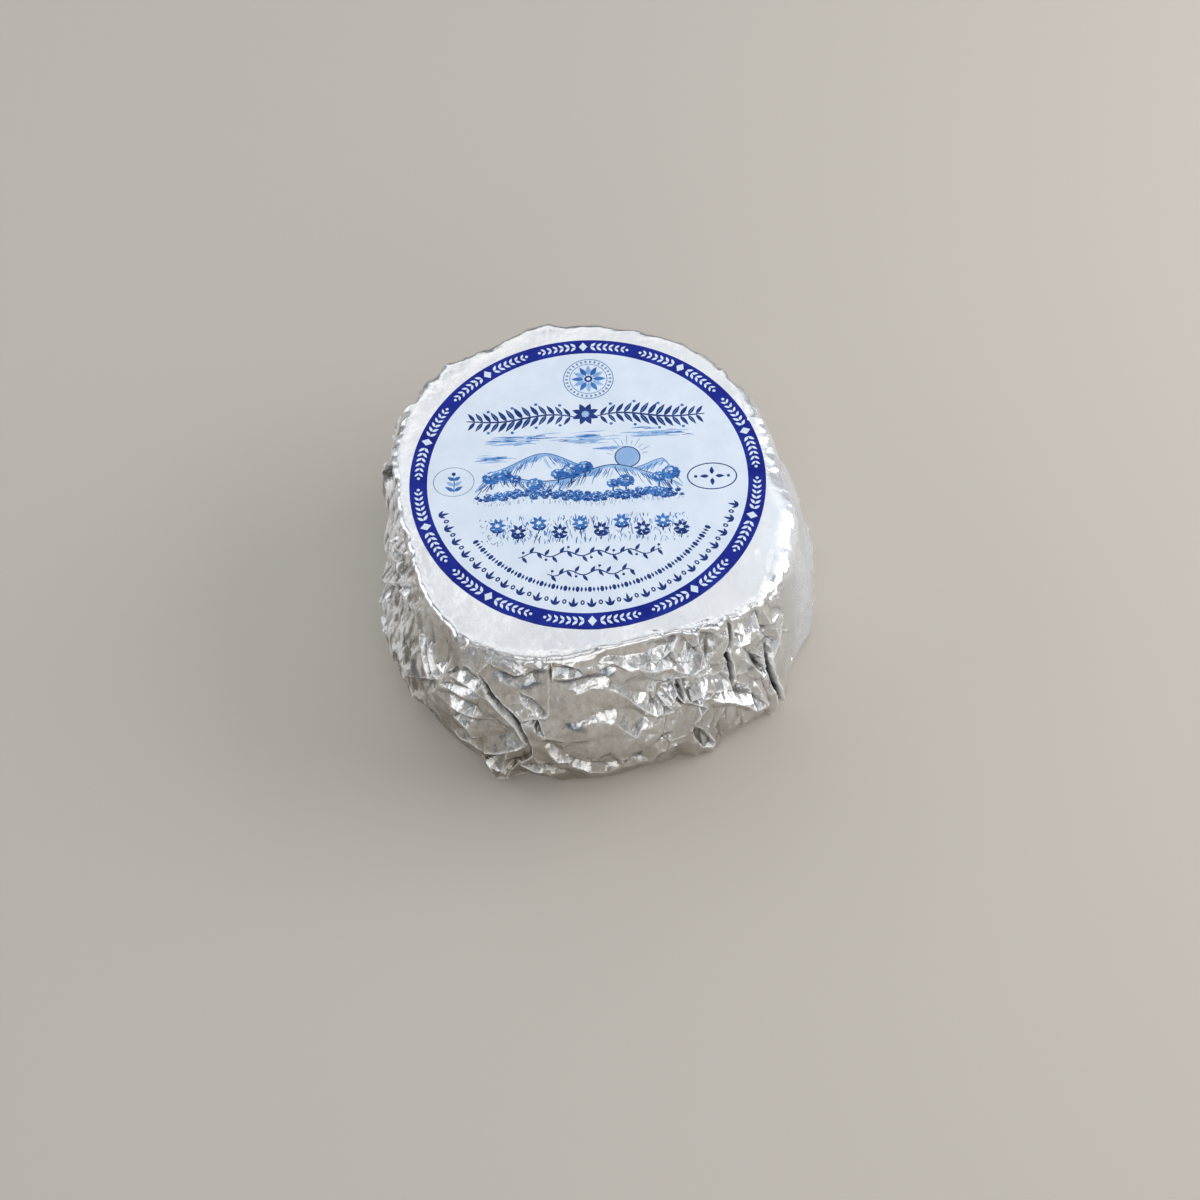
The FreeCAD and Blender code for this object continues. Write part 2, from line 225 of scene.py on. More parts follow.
# ------------------------------------------------------------------ folds of the foil
# Crease lines of the side: (turn in degrees, height up the side in mm, how far it
# stands out in mm). Facets run flat from one line to the next.
CREASES = [
    # left side: slanting overlap, shoulder pleats, panels that turn under at mid height
    [(-176, 21, .5), (-171, 28, .8), (-166, 35.5, 1.2), (-160, 45, 1.4), (-155, 53, 1.3), (-150, 61, .9), (-147, 65, .2)],
    [(-175, 19, -.4), (-169.4, 28, -.5), (-164.4, 35, -.8), (-158.6, 44.2, -.9), (-153.6, 52, -.8), (-148.8, 60, -.5)],
    [(-176, 52, .8), (-172, 55.5, 1.0), (-167, 62.5, .5)], [(-174, 50, -.8), (-170, 54.5, -.9), (-164, 62, -.5)],
    [(-171, 52, .9), (-166, 55, 1.2), (-160.5, 60, .7)], [(-169.5, 50.3, -.6), (-164, 53.6, -.8), (-158.5, 58.5, -.5)],
    [(-168, 48.5, .7), (-163.5, 52, 1.2), (-159.5, 56, .8)], [(-164, 47, -.4), (-160.5, 51.5, -.4)],
    [(-176, 36, .6), (-172, 41, .9), (-168, 46, .5)], [(-175, 33, -.5), (-171, 38, -.6), (-167, 42, -.4)],
    [(-176, 3, 1.2), (-172.5, 10, 1.7), (-169.5, 17, 1.9), (-166, 23.5, 1.5), (-163, 28, .8)],
    [(-174, 2, -.6), (-170.5, 8, -.9), (-167, 15, -1.1), (-163.5, 20.5, -.4)],
    [(-168.5, 18, 1.3), (-163.5, 19, 1.3), (-158, 19.5, 1.2), (-154, 21, .7)],
    [(-167, 20.5, -.2), (-161, 22.5, -.6), (-156, 23, -.5)],
    [(-162.5, 32, 1.0), (-159, 33.5, .5), (-157, 29.5, 1.2), (-154.5, 28, 1.0)],
    [(-163, 25.5, .0), (-160, 27, -.4), (-158, 24.5, -.2)], [(-163, 38, -.2), (-158.5, 41, -.2), (-155, 36, -.6)],
    [(-157, 20, .6), (-155, 15, 1.0), (-159, 7, .8), (-161, 3, .6)],
    [(-149, 27, .8), (-146, 25.5, 1.3), (-142.5, 25.5, 1.6), (-140.5, 29, .9)],
    [(-152, 34, .2), (-150, 38, .6), (-146.5, 44, .1), (-143, 50, -.5), (-141, 45, -.8)],
    [(-148, 52, .6), (-144, 57, .9), (-140, 61, .4)], [(-150, 55, -.4), (-145, 60.5, -.3)],
    [(-146, 21, .7), (-140, 20.5, .8), (-137, 21, .4)], [(-146, 19, -.1), (-139, 18.5, -.1)],
    [(-154, 49, .7), (-149, 52, .6)], [(-153, 45, -.3), (-148, 48, -.4)],
    # pinched pleats
    [(-140.5, 49, .4), (-138, 43.5, 1.3), (-136.3, 39, 1.5), (-135.6, 34.5, .8)],
    [(-139.3, 49.5, -.6), (-136.9, 43.5, -.9), (-135.3, 39.5, -.9)],
    [(-138, 51, .3), (-135.8, 45, 1.3), (-133.6, 40, 1.5), (-132.4, 37.5, 1.0)],
    [(-136.8, 51, -.5), (-134.6, 45.5, -.8), (-132.7, 41.5, -.6)],
    [(-135.4, 50, .6), (-133.4, 45, 1.1), (-131, 42, .9)],
    [(-139.8, 28.5, .9), (-137.5, 32, 1.4), (-134.6, 36, 1.6), (-131.6, 40, 1.6), (-130, 43, 1.2)],
    [(-138.6, 27, -.6), (-136, 31.5, -.7), (-133.4, 34.8, -.7)],
    # the root of the big fold, from under the pinch up to the shoulder
    [(-136, 24.5, .8), (-134.2, 29, 1.4), (-132.2, 33.5, 1.6), (-130.6, 39, 1.4), (-129.8, 45, 1.2), (-128, 55, 1.2), (-125.4, 62, .7), (-124, 65, .1)],
    [(-136, 60, .3), (-134, 54, .7), (-132.6, 48, .3)], [(-132, 60, -.3), (-130.8, 54, -.5), (-130.8, 48, -.7)],
    [(-127, 59.3, 1.1), (-123.6, 57.3, 1.5), (-120.5, 55.5, 1.4)], [(-125, 64.6, -.5), (-119.9, 64.4, -.7)],
    [(-122.5, 56, .2), (-126, 50.5, -.2), (-128.8, 45.5, -.2)],
    [(-128.5, 45.7, .9), (-126, 47.5, 1.4), (-123.4, 48.3, 1.7), (-121, 46.3, 1.5)],
    [(-127, 50.2, -.5), (-124, 52, -.5), (-120.6, 50, -.4)],
    [(-129.6, 38.8, -.4), (-127.5, 40.5, -.8), (-125, 42, -1.0), (-121, 44.6, -.6)],
    [(-129, 37.7, .5), (-124.5, 39.6, .5), (-120, 42.3, .4)],
    [(-129.5, 30.7, .7), (-127, 31.8, 1.2), (-124.5, 32.6, 1.5), (-121, 33.3, 1.5), (-118.6, 37, 1.0)],
    [(-129, 34.3, -.2), (-124.5, 36.2, -.6), (-121, 36.8, -.5)],
    [(-127, 25.5, .6), (-125, 27, 1.3), (-122.6, 25, 1.5), (-121.4, 20.5, 1.1)],
    [(-125, 29.6, -.5), (-121.5, 28.6, -.6), (-119.7, 24, -.4)],
    [(-128, 14.2, .9), (-125, 14.6, 1.3), (-122, 15, 1.1)], [(-126.5, 17.3, -.2), (-124.5, 18.6, -.5), (-122.2, 17.4, -.3)],
    # free edge of the big fold, the dark gap beside it, the gap's other bank
    [(-121, 54, .6), (-118.6, 51, 1.4), (-116.7, 45.9, 2.1), (-114.6, 42.6, 2.2), (-112.6, 39.4, 2.2), (-110.9, 34.5, 1.9), (-109.3, 28.8, 1.5)],
    [(-120.4, 53.5, -.1), (-118.15, 50.6, -.5), (-116.2, 46.2, -1.4), (-114.05, 42.95, -1.9), (-112.05, 39.75, -1.9), (-110.4, 34.85, -1.0), (-108.9, 28.95, .0), (-107.6, 24, .1), (-107.6, 18.6, -.3), (-109.3, 14.8, -.7), (-111.7, 10.8, -.7), (-113.6, 6.8, -.5)],
    [(-119.6, 54, .7), (-117.5, 51.2, .8), (-115.6, 46.9, .9), (-113.4, 43.8, 1.0), (-111.35, 40.5, .9), (-109.75, 35.1, .8), (-108.3, 29.3, .8), (-107.0, 24.2, .9), (-107.0, 18.3, .7), (-108.6, 14.2, .5), (-110.9, 10.2, .4)],
    # bright ledge under the fold's corner
    [(-119.4, 20.8, -.1), (-115.3, 25.3, -.3), (-111.6, 28.0, -.2)],
    [(-117.8, 16.0, 2.2), (-113.6, 19.6, 2.5), (-110.4, 22.9, 2.2), (-108.8, 26.0, 1.1)],
    [(-117.2, 14.9, .5), (-113, 18.7, .4), (-109.7, 21.5, -.2)],
    [(-119.6, 12, .8), (-118.6, 15.5, 1.2)], [(-116, 10, .9), (-113.8, 11.8, .9)], [(-118.3, 9, -.2), (-115.2, 12.8, -.3)],
    # crushed strip between the gap and the seam
    [(-110.6, 47.2, 1.2), (-109.3, 48.4, 1.7), (-107.7, 45.6, 1.7), (-106.3, 42.5, 1.5), (-105.2, 40.3, 1.2)],
    [(-110.4, 45.2, -.4), (-108.4, 43.6, -.6), (-107.2, 41.3, -.5)], [(-108.6, 50, -.5), (-106.3, 46, -.5), (-104.4, 42, -.4)],
    [(-108.6, 38.1, 1.3), (-106.6, 39.1, 1.1)], [(-107.6, 36.3, -.8), (-105.9, 37.8, -.6), (-105.9, 33.5, -.9)],
    [(-105.7, 39, .7), (-104.9, 36.5, 1.2), (-104.4, 34.2, 1.4)], [(-106.8, 34.8, .8), (-106, 31.6, .7)],
    [(-103.4, 39, .4), (-103.2, 35, 1.1), (-103.6, 31.5, 1.3), (-104.8, 28.8, 1.0), (-105, 24, .7)],
    [(-104.2, 26, .5), (-102.6, 22.2, 1.3), (-100.6, 19.1, 1.5), (-98.4, 18.4, 1.1)],
    [(-103, 27, -.4), (-100.4, 23.4, -.3), (-98.6, 20.6, -.4)], [(-103, 17.2, .6), (-100.6, 16.6, .2)],
    [(-106.5, 13.4, .3), (-105.5, 15, 1.0), (-104, 15.4, .4)], [(-106.3, 11.4, -.3), (-103.8, 12.3, -.4)], [(-105.8, 9.4, 1.1), (-103.8, 9, 1.0)],
    # front shoulder
    [(-118, 62, .9), (-114, 60.5, 1.1), (-111, 59.8, 1.0), (-107, 62.2, .9), (-104, 61.7, .7)], [(-117, 57.6, -.5), (-112, 56.4, -.6), (-107.5, 58.6, -.4)],
    [(-115, 54.3, .5), (-110, 54.2, .7), (-106, 56, .5)], [(-114, 51.7, .7), (-110.5, 52, .8), (-107, 49, .4), (-105, 48, .2)],
    [(-107, 65, .3), (-102, 64.5, .8), (-98, 62.6, 1.2), (-95.6, 60.2, 1.4)], [(-102.5, 62.5, -.2), (-98, 60.8, -.4), (-96.3, 59.2, -.5)],
    [(-102.6, 58.8, .9), (-99, 57.6, 1.1), (-95, 57.6, 1.0), (-91.5, 58, 1.0), (-88.9, 59.2, .9)],
    [(-101, 55.2, -.5), (-96.3, 55, -.6), (-92.5, 55.2, -.5), (-89, 54.6, -.3)],
    [(-91, 61.4, .2), (-87, 60.2, .9), (-84.5, 57.4, 1.3), (-82.4, 55.2, 1.6), (-81.2, 53.6, 1.3)],
    [(-88.2, 58.3, -.4), (-88.4, 55.2, 1.0), (-85.2, 57.2, .2)],
    [(-88, 62.6, -.4), (-84, 61, -.6), (-80, 60.4, -.6), (-75.5, 60.3, -.6), (-71, 61.5, -.5)],
    [(-80.4, 56, 1.2), (-77.5, 54.8, 1.5), (-74.4, 54.4, 1.4), (-71.6, 54, 1.0)],
    # smooth front panel, its rim and the long upturned band on its right
    [(-97, 50, .2), (-93, 51.6, .5), (-88, 53.6, .3)], [(-95.5, 51.2, -.2), (-91, 52.8, .1)], [(-96, 49, -.1), (-93.4, 44.4, -.3)],
    [(-88.7, 50.1, 1.1), (-86.2, 48, 1.3), (-83.7, 44.5, 1.4), (-81.6, 40.9, 1.6), (-79.1, 36.9, 1.7), (-76.7, 33.2, 1.5), (-75.8, 31, .7)],
    [(-88, 51.3, -.1), (-84.8, 49.3, -.5), (-82.1, 45.4, -.7), (-79.9, 43.2, -.9), (-77.6, 41, -1.0), (-74.9, 36.6, -.9), (-73.9, 33.4, -.8)],
    # rounded swelling below it
    [(-100.5, 33.5, .3), (-97, 35.4, .8), (-93.6, 36.4, .9), (-90, 36.6, 1.4), (-87, 34.8, 1.7), (-84.8, 30.8, 1.9), (-82.6, 27.2, 1.7), (-80.8, 24.2, .9)],
    [(-99.5, 36.6, -.4), (-95, 38.6, -.4), (-90.6, 40.6, -.5), (-86.4, 39.6, -.7), (-83.6, 34.8, -.6), (-81.8, 30.6, -.7)],
    [(-82, 37.6, .1), (-79.6, 33.4, .2)], [(-81.2, 29.6, .9), (-78, 29.2, .9), (-74.8, 29.6, .8)],
    [(-98.3, 28.4, .5), (-95, 29.8, .7), (-91.8, 31.4, .3)], [(-97.6, 26.8, -.3), (-93.6, 28, -.4)],
    [(-95, 24, -.4), (-94.4, 19, -.5)], [(-93.2, 24, .4), (-92.4, 18, .4)],
    [(-88.8, 21.2, .3), (-86.9, 19.4, 1.0), (-85.9, 16.4, 1.2), (-86, 12.6, .8)], [(-89, 18.4, -.3), (-87.4, 14.6, -.4)],
    [(-98.4, 15.2, .8), (-95.6, 14.8, 1.1), (-93.6, 13.2, 1.3), (-90.2, 10.2, 1.1)], [(-97.2, 17.6, -.4), (-93.6, 16.6, -.4), (-90, 13.6, -.4)],
    [(-85.4, 11.6, .8), (-83.2, 11, .9)], [(-84.4, 14.2, -.3), (-81.6, 15, -.3)], [(-81.8, 12.3, .9), (-79.2, 11.8, .9), (-76.8, 12.6, .5)],
    [(-78, 20, .3), (-76.6, 16.2, 1.1), (-74.4, 13.4, 1.1), (-71.5, 13, .6)], [(-75.4, 19.6, -.5), (-73, 16.6, -.4)],
    [(-76, 18.6, .3), (-73.2, 17.6, .8)], [(-79.6, 26.6, .3), (-75.6, 24.6, .5), (-72, 21.6, .3)],
    # crushed zone
    [(-80, 52.6, .5), (-76.6, 50, .7), (-73.4, 47, .5), (-70.6, 45, .9)], [(-79, 49, -.3), (-75.4, 46.4, -.5)],
    [(-74, 56.4, -.3), (-70.4, 60.2, 1.0), (-69.4, 56, 1.4), (-67, 55.6, 1.6)], [(-71.6, 57, -.6), (-70.4, 54.6, .1)],
    [(-67.6, 64.6, -.5), (-66.3, 60.4, -1.0), (-65.2, 56.6, -1.1)], [(-63.6, 64.4, .7), (-63.2, 60, 1.3), (-62.7, 55.4, 1.6), (-64.2, 50.2, 1.6)],
    [(-62, 64, -.4), (-60.4, 60, -.8), (-61, 56, -.6)],
    [(-68.6, 53.4, -.8), (-66.4, 54, -.9)], [(-68, 48.9, 1.4), (-66, 48.2, 1.8), (-64, 49.8, 1.7)], [(-68.4, 47.6, -.4), (-66, 46.9, -.7), (-63.6, 47.4, -.6)],
    [(-71, 45, 1.0), (-69, 46.4, 1.4), (-67.4, 44.4, .9), (-68, 42.9, -1.4)], [(-66.8, 44, .7), (-64, 45.3, 1.3), (-61.3, 46.8, 1.4)],
    [(-66.4, 42.6, -1.0), (-63.6, 43.6, -1.1), (-61.4, 44.4, -.9)],
    [(-60.2, 57.6, -.3), (-59.4, 55.2, 1.3), (-57, 54.8, 1.2)], [(-58.6, 63, .3), (-57, 59.6, 1.0), (-55.8, 62, .2)],
    [(-61.6, 52, -.5), (-59.6, 50.6, .9), (-58, 48.9, 1.1), (-56.6, 46.6, .9), (-55.6, 43.8, .6)],
    [(-61, 49, .6), (-60.6, 44.6, -.4), (-60.2, 41.2, .5), (-57.6, 40.9, .5), (-56, 41, .3)],
    [(-76.2, 36, -.9), (-75.3, 38.6, -1.0), (-74, 41.6, -.9), (-71.2, 42, -.7)],
    [(-75, 33.9, 1.2), (-73.6, 35.6, 1.5), (-71.6, 36.4, 1.7), (-70.2, 34, 1.2)],
    [(-70.8, 41.8, .6), (-70.4, 38, 1.4), (-69, 34, 1.2)], [(-69.5, 41.6, -1.0), (-69.2, 37.6, -.8)],
    [(-68.7, 41.2, 1.1), (-68.5, 37.2, 1.3), (-67.2, 33, 1.2), (-64.7, 29.8, 1.4), (-62.8, 26.6, 1.2)],
    [(-67.6, 41, -.9), (-67.2, 36.6, -.8)], [(-66.7, 34.2, 1.2), (-64.4, 35.6, 1.6), (-62.6, 35.2, 1.3), (-60.8, 33.4, 1.1)],
    [(-66.4, 41, -.7), (-63.6, 40.6, -.8), (-61.4, 39.7, -1.0)], [(-66, 31.6, -.6), (-64.2, 33.2, -.8), (-62.6, 32.9, -1.0)],
    [(-63.4, 30.6, 1.1), (-61.8, 31, 1.3), (-60.6, 28.6, .9)], [(-66.2, 28.2, -.8), (-64.6, 26.6, -.6)],
    [(-70.8, 36.6, .6), (-68.6, 31.6, -.4), (-66.8, 28, -.8)], [(-74.8, 31.6, .6), (-72, 32, 1.2), (-70, 32.9, .9)], [(-73.4, 30, -.4), (-70.6, 29.6, -.4)],
    [(-60.4, 40, -1.0), (-58, 39.6, -1.0), (-56, 39.8, -1.2)], [(-60.2, 32.4, 1.0), (-58.4, 31.3, 1.4), (-55.6, 30.6, 1.2)],
    [(-60, 29.9, -.8), (-57, 29, -1.0), (-54.8, 28.4, -1.2)],
    # pointed fold with the shadow under it
    [(-61.6, 27.2, .7), (-58.6, 26.6, 1.7), (-55.8, 24, 2.2), (-53.4, 21.3, 2.7), (-51, 19.4, 2.5)],
    [(-57, 27.8, -.5), (-54.2, 25.4, -.6), (-51.6, 22.4, -.4)],
    [(-60, 21, .2), (-57, 19.6, .0), (-55.2, 17.6, -.9), (-52.8, 18.2, -1.9), (-51.2, 18.4, -1.3)], [(-49.8, 20.4, .3), (-49.6, 17, -.2)],
    # first long crack
    [(-55.3, 64.4, .2), (-55.2, 60.6, .5), (-56.2, 56, .9), (-57.8, 51.4, 1.0), (-56.9, 48.6, 1.0)],
    [(-54.4, 64.8, -.3), (-54.4, 60.6, -.8), (-55.0, 56, -1.0), (-56.6, 50.8, -1.6), (-55.9, 47, -1.8), (-54.9, 43, -1.4), (-54.8, 36, -1.3), (-54.4, 29.6, -.9)],
    [(-53.6, 64.4, .3), (-53.6, 60.4, .6), (-54.2, 55.4, 1.1), (-55.3, 50.6, 1.2), (-55.0, 46.4, 1.1), (-54.1, 42, 1.0), (-54.0, 36, 1.0), (-53.6, 30.6, .8)],
    [(-55.8, 38.6, .6), (-55.8, 33, .7)],
    [(-52.6, 53.7, 1.7), (-50.4, 52.6, 1.5), (-49.2, 50.8, .8)], [(-52.6, 50, -.4), (-52, 46.6, -.7)], [(-52.6, 57, -.4), (-50, 55.4, -.6), (-47.6, 55, -.4)],
    [(-52.9, 45.6, .8), (-51, 42, 1.3), (-49.2, 37.4, 1.6), (-47.6, 32.4, 1.6), (-46.2, 28, 1.2), (-45.2, 24, .7)],
    [(-50, 45, -.2), (-48, 39, -.6), (-46.6, 33.6, -1.1), (-45.3, 28.6, -1.4)], [(-48, 47.5, .6), (-47.2, 43.4, .8), (-46, 40, .3)],
    [(-52.2, 63, .1), (-51.4, 58.9, 1.4), (-49, 57.8, 1.6), (-47.2, 58.6, 1.4)], [(-46.4, 63, -.6), (-46.4, 60, -.9), (-45.8, 55.6, -.3)],
    [(-45, 63.6, .6), (-44, 58.6, 1.3), (-43.4, 55, 1.2)], [(-45.6, 53.8, -.5), (-44.6, 50.4, -1.3)], [(-46.4, 51.6, 1.0), (-45.8, 48, .9), (-44, 46.6, .2)],
    [(-43.2, 52.4, .4), (-42, 50.4, 1.3), (-41, 45, 1.8), (-40.8, 40.8, 1.4)], [(-42.6, 63, -.3), (-41.2, 58, -.3)], [(-43.6, 44, -.5), (-43.2, 39.6, -.6)],
    [(-46.4, 37.8, .9), (-45, 35.6, 1.3), (-44.8, 31, 1.0)],
    # second crack, and the upright free edge of the smooth right side
    [(-39.2, 48.6, -.4), (-38.7, 45, -1.0), (-39.1, 41, -1.0), (-40.3, 38.6, -1.2), (-41.8, 36.0, -1.5), (-42.4, 33.2, -1.3), (-42.9, 30.4, -1.4), (-42.9, 25, -1.8), (-42.5, 18, -2.0), (-42.0, 12, -1.7), (-42.2, 6, -1.0)],
    [(-38.4, 48.6, .7), (-38.1, 45, .8), (-38.5, 41.2, .9), (-39.7, 37.4, 1.1), (-41.2, 34.4, 1.3), (-42.3, 30, 1.5), (-42.3, 25, 1.6), (-41.9, 18, 1.6), (-41.4, 12, 1.5), (-41.2, 6, 1.2)],
    [(-43.7, 30.8, .6), (-43.7, 25, .5), (-43.3, 18, .6), (-42.9, 12, .7), (-43.4, 6, .6)],
    [(-39.5, 30, 1.2), (-39, 20, 1.3), (-38.6, 10, 1.2)],
    [(-50.2, 26, 1.0), (-49.8, 22, .4), (-48.8, 16, -.9)], [(-48.4, 26.6, .9), (-47.8, 20, 1.5), (-47, 13.6, 1.6)], [(-46.2, 24, .0), (-45.2, 16, .2), (-44.6, 9, .0)],
    [(-51, 15.4, 1.0), (-49.6, 12.4, 1.4), (-46.4, 11.6, 1.2)], [(-51, 10.8, -.5), (-48, 9.4, -.4), (-45.4, 8.4, -.6)],
    [(-40.4, 55.2, .8), (-38, 51, 1.2), (-36.2, 46.2, 1.1), (-35.2, 38.4, .6)], [(-39.3, 55.8, -.4), (-36.8, 51, -.4), (-35, 46.4, -.3)],
    [(-38.4, 40.8, .3), (-35.4, 36, .9), (-32.2, 30, .4)], [(-37, 38, -.4), (-34, 32.6, -.4)],
    [(-37.7, 64, -.4), (-37.5, 60.6, -.9), (-37, 58, -.4)], [(-38.7, 61, .5), (-36.2, 61, .5)],
    # the little open ear of the left side, the nub at the fold's foot, the straight seam
    [(163, 52, .4), (167, 56, 1.9), (171, 58, 2.3), (175, 56.6, 1.0)], [(164, 54.6, -.3), (167.4, 59, -.4), (171, 61, -.4), (174.4, 60.6, -.3), (177, 58.6, -.2)],
    [(165, 58, .2), (168, 62.8, .3), (171.4, 64.4, .2), (175.4, 64, .2)], [(164, 47, .3), (168, 50.4, 1.5), (172, 51.6, 1.3), (175, 49.4, .4)], [(166, 43.6, -.3), (170, 45.4, -.6), (174, 44, -.3)],
    [(-119, 7.8, .4), (-116.7, 8.4, 2.2), (-113.8, 7.6, 2.5), (-112.6, 5.8, 1.0)], [(-118.6, 3.2, .8), (-115.7, 3.6, 2.6), (-113.2, 3.4, 2.4)], [(-119.9, 6, -.7), (-120, 2.4, -.6)],
    [(-103.5, 64, .35), (-103.4, 55, .4), (-103.3, 45.5, .4), (-103.35, 41, .3)], [(-102.9, 64, -.15), (-102.8, 55, -.2), (-102.7, 45.5, -.2), (-102.7, 41, -.1)],
    # gathers at the foot of the crushed zone
    [(-66.9, 19.6, .2), (-65.8, 15, -.7), (-64.2, 11.4, -1.0), (-62.6, 6.6, -.9)], [(-68, 17, .5), (-66.6, 11.6, .9), (-65, 6, .8)],
    [(-64.2, 16, .8), (-62.9, 11, .9), (-61.6, 6, .8)],
    # smooth right side: long folds that lean back
    [(-30, 44, -.2), (-26.5, 36, -.5), (-23, 27, -.6), (-20, 19, -.3)], [(-28.4, 45, .4), (-25, 37, .6), (-21.4, 27.6, .7), (-18.6, 20, .4)],
    [(-23.6, 65, -.2), (-21.6, 61, -.5), (-18.6, 56, -.2)], [(-22.4, 65, .3), (-20.2, 61, .5), (-17.4, 56.4, .3)],
    [(-16.6, 47, -.2), (-14, 41, -.6), (-11.5, 35, -.3)], [(-15.4, 47, .4), (-12.8, 41.4, .6), (-10.4, 35.4, .3)],
    [(-32.6, 17, .4), (-32.7, 11, .4)], [(-31.8, 16, -.6), (-31.7, 11.4, -.9)], [(-30.9, 16.6, .4), (-30.8, 11.2, .4)],
]


def to_sheet(turn, z, t, height):
    """Place a (turn, height) pair of the side in the sheet's own two coordinates."""
    col = np.argmin(np.abs(turn_from(turn, t)))
    zc = z[col]
    top = int(np.argmax(zc < H - 1e-3))
    foot = int(np.argmax(zc < 1e-3)) if (zc < 1e-3).any() else len(zc) - 1
    j = np.interp(-height, -zc[top - 1:foot + 1], np.arange(top - 1, foot + 1))
    return math.radians(turn_from(t, 0.0)) * REF, j


def guided(turn, z, a, ds, around, fill):
    nv = z.shape[1]
    rnd = np.random.RandomState(5)
    lines = [[(t, h, d) for t, h, d in c] for c in CREASES]
    # the hidden back carries the same kinds of folds, turned the other way
    for c in CREASES:
        if c[0][0] < -100:
            k = rnd.uniform(0.6, 1.0)
            lines.append([(-t - 80 + 1.5 * math.sin(h / 9.0), h, d * k) for t, h, d in c])
        elif c[-1][0] < -34:
            k = rnd.uniform(0.6, 1.0)
            lines.append([(t + 199 + 2.0 * math.sin(h / 11.0), h * 0.97 + 1, d * k) for t, h, d in c])
    pts, hts, edges = [], [], []
    for c in lines:
        for i, (t, h, d) in enumerate(c):
            x, j = to_sheet(turn, z, t, h)
            pts.append((x, j * ds))
            hts.append(d)
            if i:
                edges.append((len(pts) - 2, len(pts) - 1))
    own = np.array(pts)
    n = int(round(around / 7.5))
    m = int(nv * ds / 7.0)
    for i in range(n):
        for j in range(m + 1):
            x = a[0] + (i + rnd.uniform(-.4, .4) + .5 * (j % 2)) * around / n
            y = (j + rnd.uniform(-.4, .4)) * nv * ds / m
            h = rnd.uniform(-1, 1)
            dx = np.abs(own[:, 0] - x)
            dx = np.minimum(dx, around - dx)
            if np.hypot(dx, own[:, 1] - y).min() > 4.2:
                pts.append((x, y))
                hts.append(h * fill)
    return tin(a, np.arange(nv) * ds, pts, hts, edges, around)

def spot(t, z, at, up, wide, high):
    return bell(turn_from(t, at), wide) * bell(z - up, high)


def swell(t, z):
    """Broad bulges and hollows under the creases."""
    h = 3.4 * spot(t, z, -43, 10, 8, 16) + 1.8 * window(t, -64, -46, 6) * bell(z - 5, 9)
    h = h - 1.3 * window(t, -158, -82, 12) * bell(z, 9)
    h = h + 1.2 * spot(t, z, -95, 44, 9, 9) + 1.3 * spot(t, z, -88, 28, 10, 9)
    h = h + 2.6 * spot(t, z, -149, 25, 17, 16) + 1.0 * spot(t, z, -121, 38, 8, 15)
    h = h + 2.6 * spot(t, z, 168, 45, 5, 6) + 1.5 * spot(t, z, -117, 4, 4, 6)
    h = h + 1.4 * spot(t, z, 60, 20, 16, 14) - 1.0 * spot(t, z, 100, 42, 14, 12) + 1.2 * spot(t, z, 135, 24, 14, 12)
    h = h - 0.8 * spot(t, z, 25, 44, 14, 12) - 0.8 * spot(t, z, -66, 40, 12, 12)
    h = h - 2.2 * window(t, 0, 30, 12) * np.clip((62 - z) / 20, 0, 1) - 2.8 * window(t, 160, 183, 10) * np.clip((50 - z) / 14, 0, 1)
    return h


